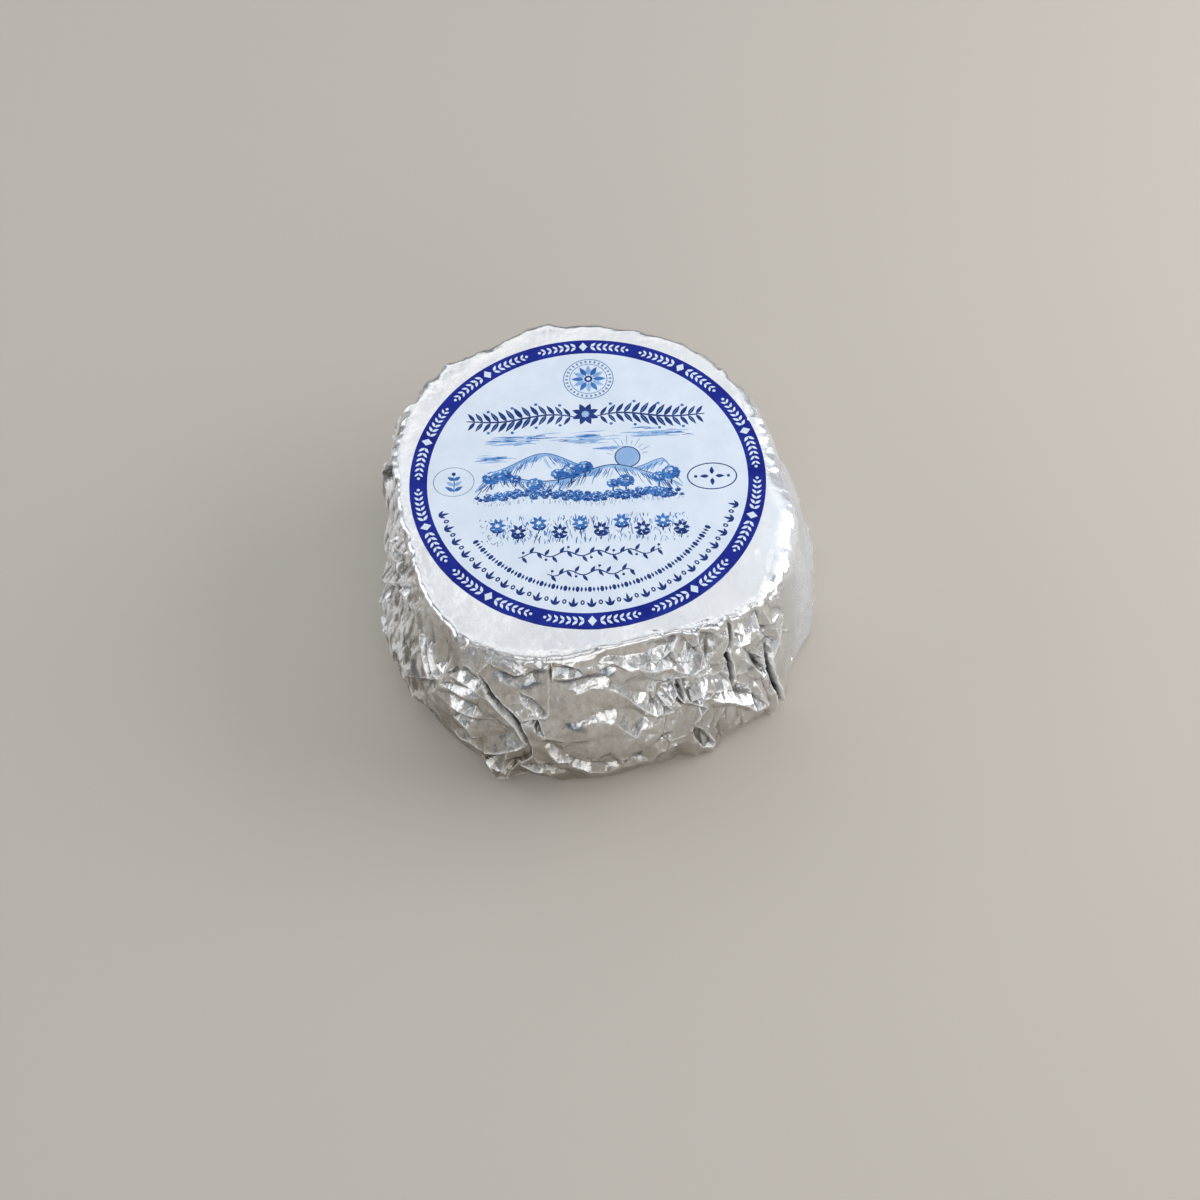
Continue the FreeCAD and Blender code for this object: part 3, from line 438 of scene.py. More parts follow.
def foil_relief(turn, z, ds):
    t = turn[:, None]
    nv = z.shape[1]
    a = np.radians(turn) * REF
    s = np.arange(nv) * ds
    around = 2 * math.pi * REF
    edge = s[None] - s[np.argmax(z < H - 0.01, axis=1)][:, None]      # mm past the top's edge
    side = np.clip((edge + 1.6) / 5.5, 0, 1) * np.clip(z / 2.5, 0, 1)
    low = np.clip((H - 2 - z) / 10, 0, 1)
    crush = np.clip(window(t, -74, -42, 9) + 0.8 * window(t, 124, 158, 9) + 0.35 * window(t, -112, -103, 4), 0, 1)
    smooth = np.clip(window(t, -34, 18, 5) + 0.7 * window(t, -101, -84, 4) * np.clip((z - 20) / 12, 0, 1), 0, 1)
    calm = 1 - smooth
    h = swell(t, z) + guided(turn, z, a, ds, around, 0.7) * (0.5 + 0.95 * calm + 0.3 * smooth * (t < -80) + 0.4 * crush)
    h += crumple(a, s, 13.0, 24.0, 11, around, 0.35) * (0.45 * calm + 0.50)
    h += (crumple(a, s, 8.5, 20.0, 15, around, 0.4) * 1.15 + crumple(a, s, 5.0, 8.0, 16, around, 0.3) * 0.42) * window(t, -34, 22, 6)
    h += crumple(a, s, 6.5, 9.0, 12, around, 0.3) * (0.34 + 0.18 * calm + 0.95 * crush)
    h += crumple(a, s, 3.4, 3.6, 13, around) * (0.12 + 0.12 * calm + 0.52 * crush)
    h += crumple(a, s, 1.7, 2.0, 14, around) * (0.03 + 0.035 * calm + 0.08 * crush)
    # upright gathers towards the foot, and the fine pleats of the left side
    h += crumple(a, s, 2.6, 20.0, 21, around) * (0.9 * window(t, -66, -44, 3) * np.clip((20 - z) / 8, 0, 1))
    h += crumple(a, s, 3.6, 26.0, 22, around, 0.5) * (1.2 * window(t, 158, 212, 10) + 0.25 * calm) * low
    h += crumple(a, s, 1.5, 14.0, 23, around, 0.5) * (0.4 * window(t, 158, 216, 12) + 0.05)
    h = h * side
    # the top is pressed flat, with only small wrinkles
    top = np.clip(1 - edge / 6, 0, 1) * np.clip((s - 2) / 4, 0, 1)
    h += (crumple(a, s, 9.0, 5.0, 31, around, 0.4) * 0.13 + crumple(a, s, 3.0, 3.2, 32, around) * 0.05) * top
    h += crumple(a, s, 7.0, 3.5, 33, around, 0.5) * (0.26 - 0.2 * window(t, -34, 60, 10)) * np.exp(-((edge - 2.5) / 2.8) ** 2)
    h += crumple(a, s, 5.0, 3.6, 34, around, 0.8) * 0.08 * window(t, -34, 80, 8) * np.exp(-((edge - 3.0) / 5.0) ** 2)
    return h, side


# painted reflections: dark blue-grey spots painted into the foil's colour where dark windows would be mirrored
# turn, height, half width in degrees, half height in mm, slope
PAINTED_DARK_REFLECTIONS = [(-112.9, 57.4, 3.6, 1.9, -.45), (-107.7, 54.8, 3.2, 1.6, -.2), (-106.8, 61.1, 3.2, 1.7, -.3), (-100.3, 60.7, 4.6, 1.2, .0),
         (-98.0, 56.0, 4.0, 1.6, .25), (-92.9, 56.2, 3.2, 1.4, .3), (-115.0, 64.0, 2.8, 1.0, .0), (-89.0, 56.8, 2.4, 2.0, .5),
         (-96.8, 35.6, 3.4, 1.5, .5), (-74.0, 47.0, 2.6, 1.5, .4), (-49.8, 36.0, 1.6, 3.4, 1.5), (-139.0, 33.0, 2.4, 3.4, .8),
         (-83.0, 15.0, 3.2, 1.1, .3), (61.0, 48.0, 3.6, 1.8, .4), (74.0, 36.0, 3.8, 1.7, -.4), (98.0, 52.0, 4.0, 1.6, .3)]


def make_foil():
    nu, nv = GRID
    turn, base = skin(nu, nv)
    norm = normals_of(base)
    z = base[..., 2].astype(float)
    ds = float(np.linalg.norm(np.diff(base, axis=1), axis=-1).mean())
    h, side = foil_relief(turn, z, ds)
    h = h.astype(F)
    x = (base + h[..., None] * norm).astype(F)
    x[..., 2] = np.maximum(x[..., 2], 0.0)
    # painted shade in the folds: how deep each point lies in a fold, against its surroundings, darkens the colour there
    deep = np.clip((soften(h, 45) - h - 0.8) / 1.3, 0, 1) * side
    deep = np.maximum(soften(deep, 2), 0.5 * np.clip((soften(h, 7) - h - 0.07) / 0.3, 0, 1) * side)
    # painted shadow in the mouth of the little ear on the left
    t = turn[:, None]
    deep = np.maximum(deep, np.clip(4.0 * spot(t, z, 170.6, 60.4, 3.2, 2.6) - 0.7, 0, 1))
    # painted highlight on the sharp ridges, in place of the light they catch
    ridge = np.clip((h - soften(h, 4) - 0.05) / 0.16, 0, 1) * side
    # painted reflection: the dark window reflections below the front edge, painted into the colour
    painted_dark_reflection = np.zeros_like(h)
    for at, up, wide, high, lean in PAINTED_DARK_REFLECTIONS:
        painted_dark_reflection = np.maximum(painted_dark_reflection, np.clip(3.0 * spot(t, z + lean * turn_from(t, at), at, up, wide, high) - 0.9, 0, 1))
    painted_dark_reflection = painted_dark_reflection * np.clip(1.2 + 1.9 * crumple(np.radians(turn) * REF, np.arange(nv) * ds, 3.4, 2.0, 41, 2 * math.pi * REF), 0.1, 1)
    return turn, base, norm, x, {"deep": deep, "ridge": ridge, "painted_dark_reflection": painted_dark_reflection}


def grid_faces(nu, nv, first=0):
    i = np.arange(nu)[:, None]
    j = np.arange(nv - 1)[None]
    k = (i + 1) % nu
    q = np.stack([i * nv + j, i * nv + j + 1, k * nv + j + 1, k * nv + j], -1) + first
    return q.reshape(-1, 4)


turn, base, norm, x, marks = make_foil()
nu, nv = x.shape[:2]
verts = [x.reshape(-1, 3)]
faces = [grid_faces(nu, nv)]
# the top under the label and the middle of the underside, as rings closing on a point
inner_top = [45.0, 25.0]
first = nu * nv
prev = np.arange(nu) * nv
quads, tris = [faces[0]], []
for r in inner_top:
    ring = np.stack([r * np.cos(np.radians(turn)), r * np.sin(np.radians(turn)), np.full(nu, H)], -1)
    verts.append(ring)
    cur = first + np.arange(nu)
    first += nu
    k = (np.arange(nu) + 1) % nu
    quads.append(np.stack([prev, prev[k], cur[k], cur], -1))
    prev = cur
verts.append(np.array([[0, 0, H]]))
k = (np.arange(nu) + 1) % nu
tris.append(np.stack([prev, prev[k], np.full(nu, first)], -1))
first += 1
prev = np.arange(nu) * nv + nv - 1
# the foil is gathered under the wheel in shallow pleats that run in to the middle
shares = np.linspace(0.965, 0.06, 26)
pleats = crumple(np.radians(turn) * REF, np.arange(26) * 2.4, 12.0, 16.0, 51, 2 * math.pi * REF, 0.5)
pleats = pleats + 0.5 * crumple(np.radians(turn) * REF, np.arange(26) * 2.4, 5.0, 11.0, 52, 2 * math.pi * REF, 0.3)
for n, f in enumerate(shares):
    ring = x[:, -1].copy() * f
    ring[:, 2] = np.clip(0.55 + 0.9 * pleats[:, n], 0, 1.6) * min(1, n / 4) * min(1, (26 - n) / 8)
    verts.append(ring)
    cur = first + np.arange(nu)
    first += nu
    quads.append(np.stack([prev, cur, cur[k], prev[k]], -1))
    prev = cur
verts.append(np.array([[0, 0, 0.0]]))
tris.append(np.stack([prev, np.full(nu, first), prev[k]], -1))
first += 1
verts = np.concatenate(verts)
verts[:, 0] += AXIS[0]
verts[:, 1] += AXIS[1]
mesh = bpy.data.meshes.new("foil")
allf = [q.tolist() for q in quads] + [t.tolist() for t in tris]
mesh.from_pydata((verts * MM).tolist(), [], [f for g in allf for f in g])
mesh.validate()
for mark, amount in marks.items():
    value = np.zeros(len(mesh.vertices), F)
    value[:nu * nv] = amount.reshape(-1)
    mesh.attributes.new(mark, "FLOAT", "POINT").data.foreach_set("value", value)
foil = bpy.data.objects.new("foil", mesh)
bpy.context.collection.objects.link(foil)
thin = foil.modifiers.new("thin", "DECIMATE")
thin.ratio = FOIL_TRIANGLES / sum(len(p.vertices) - 2 for p in mesh.polygons)
thin.use_collapse_triangulate = True
foil.data = bpy.data.meshes.new_from_object(foil.evaluated_get(bpy.context.evaluated_depsgraph_get()))
foil.modifiers.clear()
foil.data.name = "foil"
foil.data.shade_smooth()
foil.data.set_sharp_from_angle(angle=math.radians(CRISP))
print("foil triangles", len(foil.data.polygons), [at.name for at in foil.data.attributes])


# ------------------------------------------------------------------ materials
def material(name):
    m = bpy.data.materials.new(name)
    m.use_nodes = True
    nt = m.node_tree
    bsdf = nt.nodes["Principled BSDF"]
    return m, nt, bsdf


def node(nt, kind, **values):
    n = nt.nodes.new(kind)
    for key, value in values.items():
        if key in n.inputs.keys() if hasattr(n.inputs, "keys") else False:
            n.inputs[key].default_value = value
        else:
            setattr(n, key, value)
    return n


def link(nt, out, to):
    nt.links.new(out, to)


def noise(nt, vector, scale, detail, rough=0.5, stretch=None):
    n = nt.nodes.new("ShaderNodeTexNoise")
    n.inputs["Scale"].default_value = scale
    n.inputs["Detail"].default_value = detail
    n.inputs["Roughness"].default_value = rough
    if stretch:
        mp = nt.nodes.new("ShaderNodeMapping")
        mp.inputs["Scale"].default_value = stretch
        link(nt, vector, mp.inputs["Vector"])
        vector = mp.outputs["Vector"]
    link(nt, vector, n.inputs["Vector"])
    return n.outputs["Fac"]


def spread(nt, value, low, high, to_low, to_high):
    n = nt.nodes.new("ShaderNodeMapRange")
    for key, v in (("From Min", low), ("From Max", high), ("To Min", to_low), ("To Max", to_high)):
        n.inputs[key].default_value = v
    link(nt, value, n.inputs["Value"])
    return n.outputs["Result"]


def mixed(nt, factor, a, b):
    n = nt.nodes.new("ShaderNodeMix")
    n.data_type = "RGBA"
    link(nt, factor, n.inputs[0])
    for socket, v in ((n.inputs[6], a), (n.inputs[7], b)):
        if hasattr(v, "is_linked"):
            link(nt, v, socket)
        else:
            socket.default_value = v
    return n.outputs[2]


def bumped(nt, bsdf, heights):
    last = None
    for value, strength, distance in heights:
        n = nt.nodes.new("ShaderNodeBump")
        n.inputs["Strength"].default_value = strength
        n.inputs["Distance"].default_value = distance
        link(nt, value, n.inputs["Height"])
        if last:
            link(nt, last, n.inputs["Normal"])
        last = n.outputs["Normal"]
    link(nt, last, bsdf.inputs["Normal"])


def cells(nt, vector, scale, stretch, shake):
    """Small irregular facets: distance to, and a random colour of, the nearest cell."""
    jig = nt.nodes.new("ShaderNodeTexNoise")
    jig.inputs["Scale"].default_value = scale * 0.7
    jig.inputs["Detail"].default_value = 2.0
    link(nt, vector, jig.inputs["Vector"])
    move = nt.nodes.new("ShaderNodeVectorMath")
    move.operation = "MULTIPLY_ADD"
    move.inputs[1].default_value = (shake / scale,) * 3
    link(nt, jig.outputs["Color"], move.inputs[0])
    link(nt, vector, move.inputs[2])
    mp = nt.nodes.new("ShaderNodeMapping")
    mp.inputs["Scale"].default_value = stretch
    link(nt, move.outputs[0], mp.inputs["Vector"])
    v = nt.nodes.new("ShaderNodeTexVoronoi")
    v.inputs["Scale"].default_value = scale
    link(nt, mp.outputs["Vector"], v.inputs["Vector"])
    return v.outputs["Distance"], v.outputs["Color"]


def red(nt, colour):
    n = nt.nodes.new("ShaderNodeSeparateColor")
    link(nt, colour, n.inputs[0])
    return n.outputs[0]


def times(nt, a, b):
    n = nt.nodes.new("ShaderNodeMath")
    n.operation = "MULTIPLY"
    for k, v in enumerate((a, b)):
        if hasattr(v, "is_linked"):
            link(nt, v, n.inputs[k])
        else:
            n.inputs[k].default_value = v
    return n.outputs[0]


m, nt, bsdf = material("foil")
place = nt.nodes.new("ShaderNodeTexCoord").outputs["Object"]
att = {}
for mark in ("deep", "ridge", "painted_dark_reflection"):
    att[mark] = nt.nodes.new("ShaderNodeAttribute")
    att[mark].attribute_name = mark
axes = nt.nodes.new("ShaderNodeSeparateXYZ")
link(nt, place, axes.inputs[0])
calm = spread(nt, axes.outputs[2], 0.0640, 0.0658, 1.0, 0.18)         # less crinkled on the top
big, big_tone = cells(nt, place, 240.0, (1.0, 1.0, 0.42), 1.2)
fine, fine_tone = cells(nt, place, 700.0, (1.0, 1.0, 0.40), 1.0)
smudge = noise(nt, place, 45.0, 3.0)
light_metal = mixed(nt, spread(nt, smudge, 0.35, 0.65, 0, 1), (0.80, 0.805, 0.81, 1), (0.87, 0.87, 0.87, 1))
painted_reflection_amount = times(nt, spread(nt, axes.outputs[0], -0.03, 0.062, 1.0, 0.12), calm)     # strength of the painted shade and painted brown reflections: weak on the right side and on the top
# painted shade and painted brown reflections of the board: random facets and specks darkened towards brown
shade_a = times(nt, spread(nt, red(nt, big_tone), 0.25, 1.0, 0.12, 0.62), painted_reflection_amount)
shade_b = times(nt, spread(nt, red(nt, fine_tone), 0.5, 1.0, 0.0, 0.30), painted_reflection_amount)
tone = mixed(nt, shade_a, light_metal, (0.46, 0.43, 0.385, 1))
tone = mixed(nt, shade_b, tone, (0.46, 0.43, 0.39, 1))
painted_reflection_speckle = noise(nt, place, 520.0, 5.0, 0.75, (1.0, 1.0, 0.55))
tone = mixed(nt, times(nt, spread(nt, painted_reflection_speckle, 0.47, 0.62, 0.0, 0.50), painted_reflection_amount), tone, (0.38, 0.345, 0.295, 1))
# the stretched sides are a little milky, rougher and less metallic, and their colour is painted paler as painted light
far_right = times(nt, spread(nt, axes.outputs[0], 0.046, 0.068, 0.0, 1.0), spread(nt, axes.outputs[1], -0.05, -0.03, 0.0, 1.0))
far_left = times(nt, spread(nt, axes.outputs[0], -0.076, -0.060, 1.0, 0.0), spread(nt, axes.outputs[1], -0.05, -0.02, 0.0, 1.0))
milky_finish_and_painted_light = nt.nodes.new("ShaderNodeMath")
milky_finish_and_painted_light.operation = "MAXIMUM"
link(nt, far_right, milky_finish_and_painted_light.inputs[0])
link(nt, far_left, milky_finish_and_painted_light.inputs[1])
gloss = nt.nodes.new("ShaderNodeMath")
gloss.operation = "ADD"
link(nt, spread(nt, noise(nt, place, 70.0, 4.0), 0.3, 0.7, 0.13, 0.26), gloss.inputs[0])
link(nt, spread(nt, milky_finish_and_painted_light.outputs[0], 0.0, 1.0, 0.0, 0.10), gloss.inputs[1])
link(nt, gloss.outputs[0], bsdf.inputs["Roughness"])
# painted shade and painted brown reflection of the board: darker towards the foot on the left and front
foot = times(nt, spread(nt, axes.outputs[2], 0.004, 0.036, 0.72, 0.0), spread(nt, axes.outputs[0], 0.0, 0.07, 1.0, 0.15))
foot = times(nt, foot, spread(nt, axes.outputs[2], 0.0012, 0.0035, 0.1, 1.0))          # the underside keeps its silver
tone = mixed(nt, foot, tone, (0.30, 0.26, 0.20, 1))
# painted light: the milky sides are painted a pale bluish white
tone = mixed(nt, times(nt, milky_finish_and_painted_light.outputs[0], 0.75), tone, (0.84, 0.88, 0.94, 1))
# painted shade: random facets of the bright right side painted grey
painted_facet_shade_right = spread(nt, axes.outputs[0], 0.040, 0.064, 0.0, 1.0)
plane, plane_tone = cells(nt, place, 95.0, (1.0, 1.0, 0.45), 0.9)
tone = mixed(nt, times(nt, painted_facet_shade_right, spread(nt, red(nt, plane_tone), 0.45, 1.0, 0.0, 0.28)), tone, (0.52, 0.53, 0.54, 1))
# painted shade and painted highlights: dark and light streaks down the pleats of the left side
left_side = spread(nt, axes.outputs[0], -0.066, -0.054, 1.0, 0.0)
left_side = times(nt, left_side, spread(nt, axes.outputs[2], 0.0640, 0.0656, 1.0, 0.0))
streak = noise(nt, place, 330.0, 3.0, 0.55, (1.0, 1.0, 0.14))
painted_highlight_streak = times(nt, left_side, spread(nt, streak, 0.455, 0.485, 1.0, 0.0))
tone = mixed(nt, times(nt, left_side, spread(nt, streak, 0.535, 0.575, 0.0, 0.80)), tone, (0.20, 0.18, 0.155, 1))
tone = mixed(nt, times(nt, painted_highlight_streak, 0.85), tone, (0.99, 1.0, 1.0, 1))
# painted highlight: the ridges are painted white, more strongly higher up the side
painted_crest_highlight = times(nt, att["ridge"].outputs["Fac"], spread(nt, axes.outputs[2], 0.0, 0.012, 0.45, 0.85))
tone = mixed(nt, painted_crest_highlight, tone, (1.0, 1.0, 1.0, 1))
# painted dark reflections in blue-grey
tone = mixed(nt, times(nt, att["painted_dark_reflection"].outputs["Fac"], 0.8), tone, (0.15, 0.18, 0.235, 1))
# painted shade: the colour goes near black deep in the folds
link(nt, mixed(nt, att["deep"].outputs["Fac"], tone, (0.10, 0.095, 0.09, 1)), bsdf.inputs["Base Color"])
# the milky parts, the painted highlight streaks and the painted ridge highlights mirror less and scatter more, so their
# painted pale colour shows
solid = times(nt, spread(nt, milky_finish_and_painted_light.outputs[0], 0.0, 1.0, 1.0, 0.64), spread(nt, painted_highlight_streak, 0.0, 1.0, 1.0, 0.55))
solid = times(nt, solid, spread(nt, painted_crest_highlight, 0.0, 1.0, 1.0, 0.30))
link(nt, solid, bsdf.inputs["Metallic"])
bumped(nt, bsdf, [(times(nt, big, calm), 1.0, 0.00030), (times(nt, fine, calm), 1.0, 0.00005),
                  (noise(nt, place, 420.0, 3.0, 0.55), 0.25, 0.0004), (noise(nt, place, 1500.0, 2.0), 0.10, 0.0002)])
foil.data.materials.append(m)

# ------------------------------------------------------------------ the paper label
# The print is made of plain shapes laid over each other, in mm about the label's
# centre: (outline, ink). Later shapes lie on top. It carries no lettering: where
# the words and the engraved view were, there are garlands, beads and a hill scene.
PAPER, RING, NAVY, BLUE, PALE, GREY = range(6)
prints = []


def blob(x, y, rx, ry=None, turn=0.0, n=12):
    ry = rx if ry is None else ry
    q = np.arange(n) * 2 * math.pi / n
    c, s_ = math.cos(math.radians(turn)), math.sin(math.radians(turn))
    u, v = rx * np.cos(q), ry * np.sin(q)
    return np.stack([x + u * c - v * s_, y + u * s_ + v * c], 1)


def leaf(x, y, length, width, turn, n=4):
    """A pointed leaf that starts at x, y."""
    f = np.linspace(0, 1, n + 1)
    w = np.sin(math.pi * f ** 0.8) * width / 2
    u = np.concatenate([f * length, f[-2:0:-1] * length])
    v = np.concatenate([w, -w[-2:0:-1]])
    c, s_ = math.cos(math.radians(turn)), math.sin(math.radians(turn))
    return np.stack([x + u * c - v * s_, y + u * s_ + v * c], 1)


def stroke(points, width, taper=0.35):
    """A pen line along points, thinner at its ends."""
    p = np.asarray(points, float)
    d = np.gradient(p, axis=0)
    d /= np.linalg.norm(d, axis=1, keepdims=True) + 1e-9
    side_ = np.stack([-d[:, 1], d[:, 0]], 1)
    f = np.linspace(0, 1, len(p))
    w = width / 2 * (taper + (1 - taper) * np.sin(math.pi * np.clip(f, 0.001, 0.999)) ** 0.6)[:, None]
    return np.concatenate([p + side_ * w, (p - side_ * w)[::-1]])


def loop(x, y, rx, ry, width, ink, under, n=48):
    """A thin closed line: an ellipse of ink with the ground laid back inside it."""
    prints.append((blob(x, y, rx, ry, 0, n), ink))
    prints.append((blob(x, y, rx - width, ry - width, 0, n), under))


def round_about(r, degrees):
    return r * math.cos(math.radians(degrees)), r * math.sin(math.radians(degrees))


def draw_ring():
    prints.append((blob(0, 0, LABEL_R, None, 0, 240), RING))
    prints.append((blob(0, 0, 54.9, None, 0, 240), PAPER))
    mid = 57.95
    for k in range(10):
        c = 90 + 36 * k
        x, y = round_about(mid, c)
        prints.append((blob(x, y, 1.5, 1.95, c + 90, 4), PAPER))
        for sign in (-1, 1):
            for i in range(6):
                at = c + sign * (2.6 + 2.15 * i)
                x, y = round_about(mid, at)
                for lean in (-44, 44):
                    prints.append((leaf(x, y, 2.6 - 0.1 * i, 1.15 - 0.05 * i, at + sign * 90 + lean, 3), PAPER))
            x, y = round_about(mid, c + sign * 15.6)
            prints.append((blob(x, y, 0.55, None, 0, 8), PAPER))


def draw_rosette():
    x, y = 1.5, 43.3
    loop(x, y, 8.9, 8.9, 0.3, BLUE, PAPER)
    loop(x, y, 6.7, 6.7, 0.26, BLUE, PAPER)
    for i in range(30):
        a_, b_ = round_about(7.7, i * 12)
        prints.append((blob(x + a_, y + b_, 0.42, 0.62, i * 12 + 90, 6), GREY))
    for i in range(12):
        a_, b_ = round_about(1.5, i * 30)
        prints.append((leaf(x + a_, y + b_, 4.6, 1.9, i * 30), PALE if i % 2 else BLUE))
        prints.append((stroke([(x + a_ * 1.1, y + b_ * 1.1), (x + a_ * 3.2, y + b_ * 3.2)], 0.2), NAVY))
    prints.append((blob(x, y, 1.5, None, 0, 14), NAVY))
    prints.append((blob(x, y, 0.7, None, 0, 12), PAPER))


def draw_garland():
    """Two sprays of leaves from a flower, where a title would stand."""
    y0 = 27.0
    for sign in (-1, 1):
        u = np.linspace(3.5, 41.5, 24)
        stem = np.stack([sign * u, y0 + 1.3 * np.sin(u / 6.2) - 0.035 * (u - 22) ** 2 / 10], 1)
        prints.append((stroke(stem, 0.75, 0.5), NAVY))
        for i in range(13):
            f = 5.2 + 2.78 * i
            x, y = np.interp(f, u, stem[:, 0] * sign) * sign, np.interp(f, u, stem[:, 1])
            grow = 1.0 - 0.3 * abs(i - 6) / 7
            for up in (1, -1):
                ang = 56 * up if sign > 0 else 180 - 56 * up
                prints.append((leaf(x, y + 0.15 * up, 6.0 * grow, 1.85 * grow, ang, 5), NAVY))
                if i % 2:
                    prints.append((stroke([(x + sign * .5, y + up * .9), (x + sign * 2.6 * grow, y + up * 4.1 * grow)], .3), PALE))
                if i % 3 == 1:
                    prints.append((blob(x + sign * 0.9, y + up * 5.6 * grow, 0.62, None, 0, 8), BLUE))
    for i in range(8):
        a_, b_ = round_about(0.8, i * 45 + 22.5)
        prints.append((leaf(a_, y0 + 0.7 + b_, 4.1, 2.2, i * 45 + 22.5), NAVY))
    prints.append((blob(0, y0 + 0.7, 1.3, None, 0, 12), PALE))


def bush(rnd, x, y, r, dark=0.5):
    """A round tree top: a wash, light crowns and dark pen marks on its shaded side."""
    for i in range(9):
        a_, b_ = round_about(r * .66, i * 40 + rnd.uniform(-9, 9))
        prints.append((blob(x + a_, y + b_ * .86, r * .36, r * .32, 0, 8), BLUE))
    prints.append((blob(x, y, r * .68, r * .6, 0, 12), BLUE))
    for i in range(int(4 + 2 * r)):
        a_, b_ = rnd.uniform(-.62, .3) * r, rnd.uniform(-.15, .66) * r
        prints.append((blob(x + a_, y + b_, r * .18, r * .13, rnd.uniform(0, 90), 6), PALE if i % 3 else PAPER))
    for i in range(int((5 + 5 * r) * 2 * dark)):
        a_, b_ = rnd.uniform(-.5, .85) * r, rnd.uniform(-.8, .35) * r
        q = rnd.uniform(.28, .6)
        prints.append((stroke([(x + a_ - q, y + b_ + .3), (x + a_, y + b_), (x + a_ + q, y + b_ + .25)], rnd.uniform(.24, .42)), NAVY))


def draw_hills():
    rnd = np.random.RandomState(40)
    xs = np.linspace(-38.5, 32.5, 56)

    def near(x):
        return -5.6 + 2.4 * np.exp(-((x + 20) / 13.0) ** 2) + 1.6 * np.exp(-((x - 19) / 10.0) ** 2)

    def middle(x):
        return -1.0 + 6.4 * np.exp(-((x - 9) / 13.0) ** 2) + 3.0 * np.exp(-((x + 30) / 9.0) ** 2)

    def far(x):
        return 3.0 + 8.2 * np.exp(-((x + 15) / 12.0) ** 2) + 4.6 * np.exp(-((x - 27) / 8.0) ** 2)

    def fade(x):
        return np.clip(np.minimum(x + 39.5, 33.5 - x) / 7, 0, 1)

    # streaks in the sky
    for cx, cy, wide, high, n in ((-25, 17.0, 12, 2.2, 46), (-1, 16.6, 9, 2.6, 40), (24, 18.2, 11, 2.0, 40), (-33, 9.5, 6, 2.0, 18), (8, 12.2, 5, 1.2, 12)):
        for i in range(n):
            x, y = cx + rnd.normal(0, wide / 2.4), cy + rnd.normal(0, high / 2)
            q = rnd.uniform(1.0, 4.6)
            if abs(x) + q < 40:
                prints.append((stroke([(x - q, y), (x, y + rnd.uniform(.0, .35)), (x + q, y + rnd.uniform(-.1, .2))], rnd.uniform(.24, .62)), (PALE, BLUE, PALE)[i % 3]))
    # the sun with its rays
    for i in range(11):
        a_ = 14 + i * 15.2
        x0, y0 = round_about(5.4, a_)
        x1, y1 = round_about(9.0 if i % 2 else 7.4, a_)
        prints.append((stroke([(14 + x0, 8.5 + y0), (14 + x1, 8.5 + y1)], 0.42), BLUE))
    prints.append((blob(14, 8.5, 4.5, None, 0, 28), NAVY))
    prints.append((blob(14, 8.5, 4.1, None, 0, 28), PALE))
    for f, below, ink, wash in ((far, middle, BLUE, PALE), (middle, near, NAVY, PALE)):
        y = f(xs) * fade(xs) - 5 * (1 - fade(xs))
        low = (below(xs) - 1.5) * fade(xs) - 6 * (1 - fade(xs))
        prints.append((np.concatenate([np.stack([xs, y], 1), np.stack([xs, np.minimum(low, y - .2)], 1)[::-1]]), PAPER))
        thick = 1.0 + 1.9 * np.sin(xs * 0.31 + 1) ** 2
        prints.append((np.concatenate([np.stack([xs, y], 1), np.stack([xs, y - thick * fade(xs)], 1)[::-1]]), wash))
        for x in np.arange(-36, 31, .52):
            x = x + rnd.uniform(-.3, .3)
            if rnd.rand() > .2 + fade(x):
                continue
            fall = (f(x + .6) - f(x - .6)) / 1.2
            h0, length = f(x) * fade(x) - 5 * (1 - fade(x)) - rnd.uniform(.3, 1.6), rnd.uniform(1.4, 5.4)
            lean = rnd.uniform(1.0, 2.4) * (1 if fall <= 0 else -1)
            bottom = max(h0 - length, below(x + lean) - 1.0)
            if h0 - bottom > .7:
                g = np.linspace(0, 1, 4)
                prints.append((stroke(np.stack([x + lean * g ** 1.5, h0 + (bottom - h0) * g], 1), rnd.uniform(.2, .4)), ink if rnd.rand() < .45 else (BLUE, PALE)[rnd.randint(2)]))
        prints.append((stroke(np.stack([xs[1:-1], y[1:-1]], 1), .4), ink))
    # round trees in clumps
    for tx, ty, r in ((-33, 1.4, 3.2), (-28.5, 2.4, 2.7), (-24.6, .6, 2.1), (-5.5, 3.2, 3.7), (-.8, 4.8, 2.9), (-10, 2.2, 2.6), (28.6, 1.2, 3.3), (24.4, -.4, 2.6), (13, -1.6, 3.1), (8.6, -2.6, 2.2), (-18, -1.8, 3.0)):
        prints.append((stroke([(tx, ty - r * 1.5), (tx + .1, ty - r * .4)], .7, .8), NAVY))
        bush(rnd, tx, ty, r, .6)
    # a hedge in front, with long grass below it
    for i in range(62):
        x = -37.5 + 1.14 * i + rnd.uniform(-.5, .5)
        r = rnd.uniform(1.1, 2.0) * (.55 + .45 * fade(x))
        bush(rnd, x, near(x) - 1.4 - .9 * (i % 3) + rnd.uniform(-.5, .5), r, .55)
    for i in range(260):
        x = rnd.uniform(-39, 33)
        y = near(x) - rnd.uniform(3.2, 6.6) * (.6 + .4 * fade(x))
        prints.append((stroke([(x, y), (x + rnd.uniform(-.5, .5), y + rnd.uniform(.6, 1.6))], rnd.uniform(.22, .4)), (NAVY, BLUE, PALE)[i % 3]))


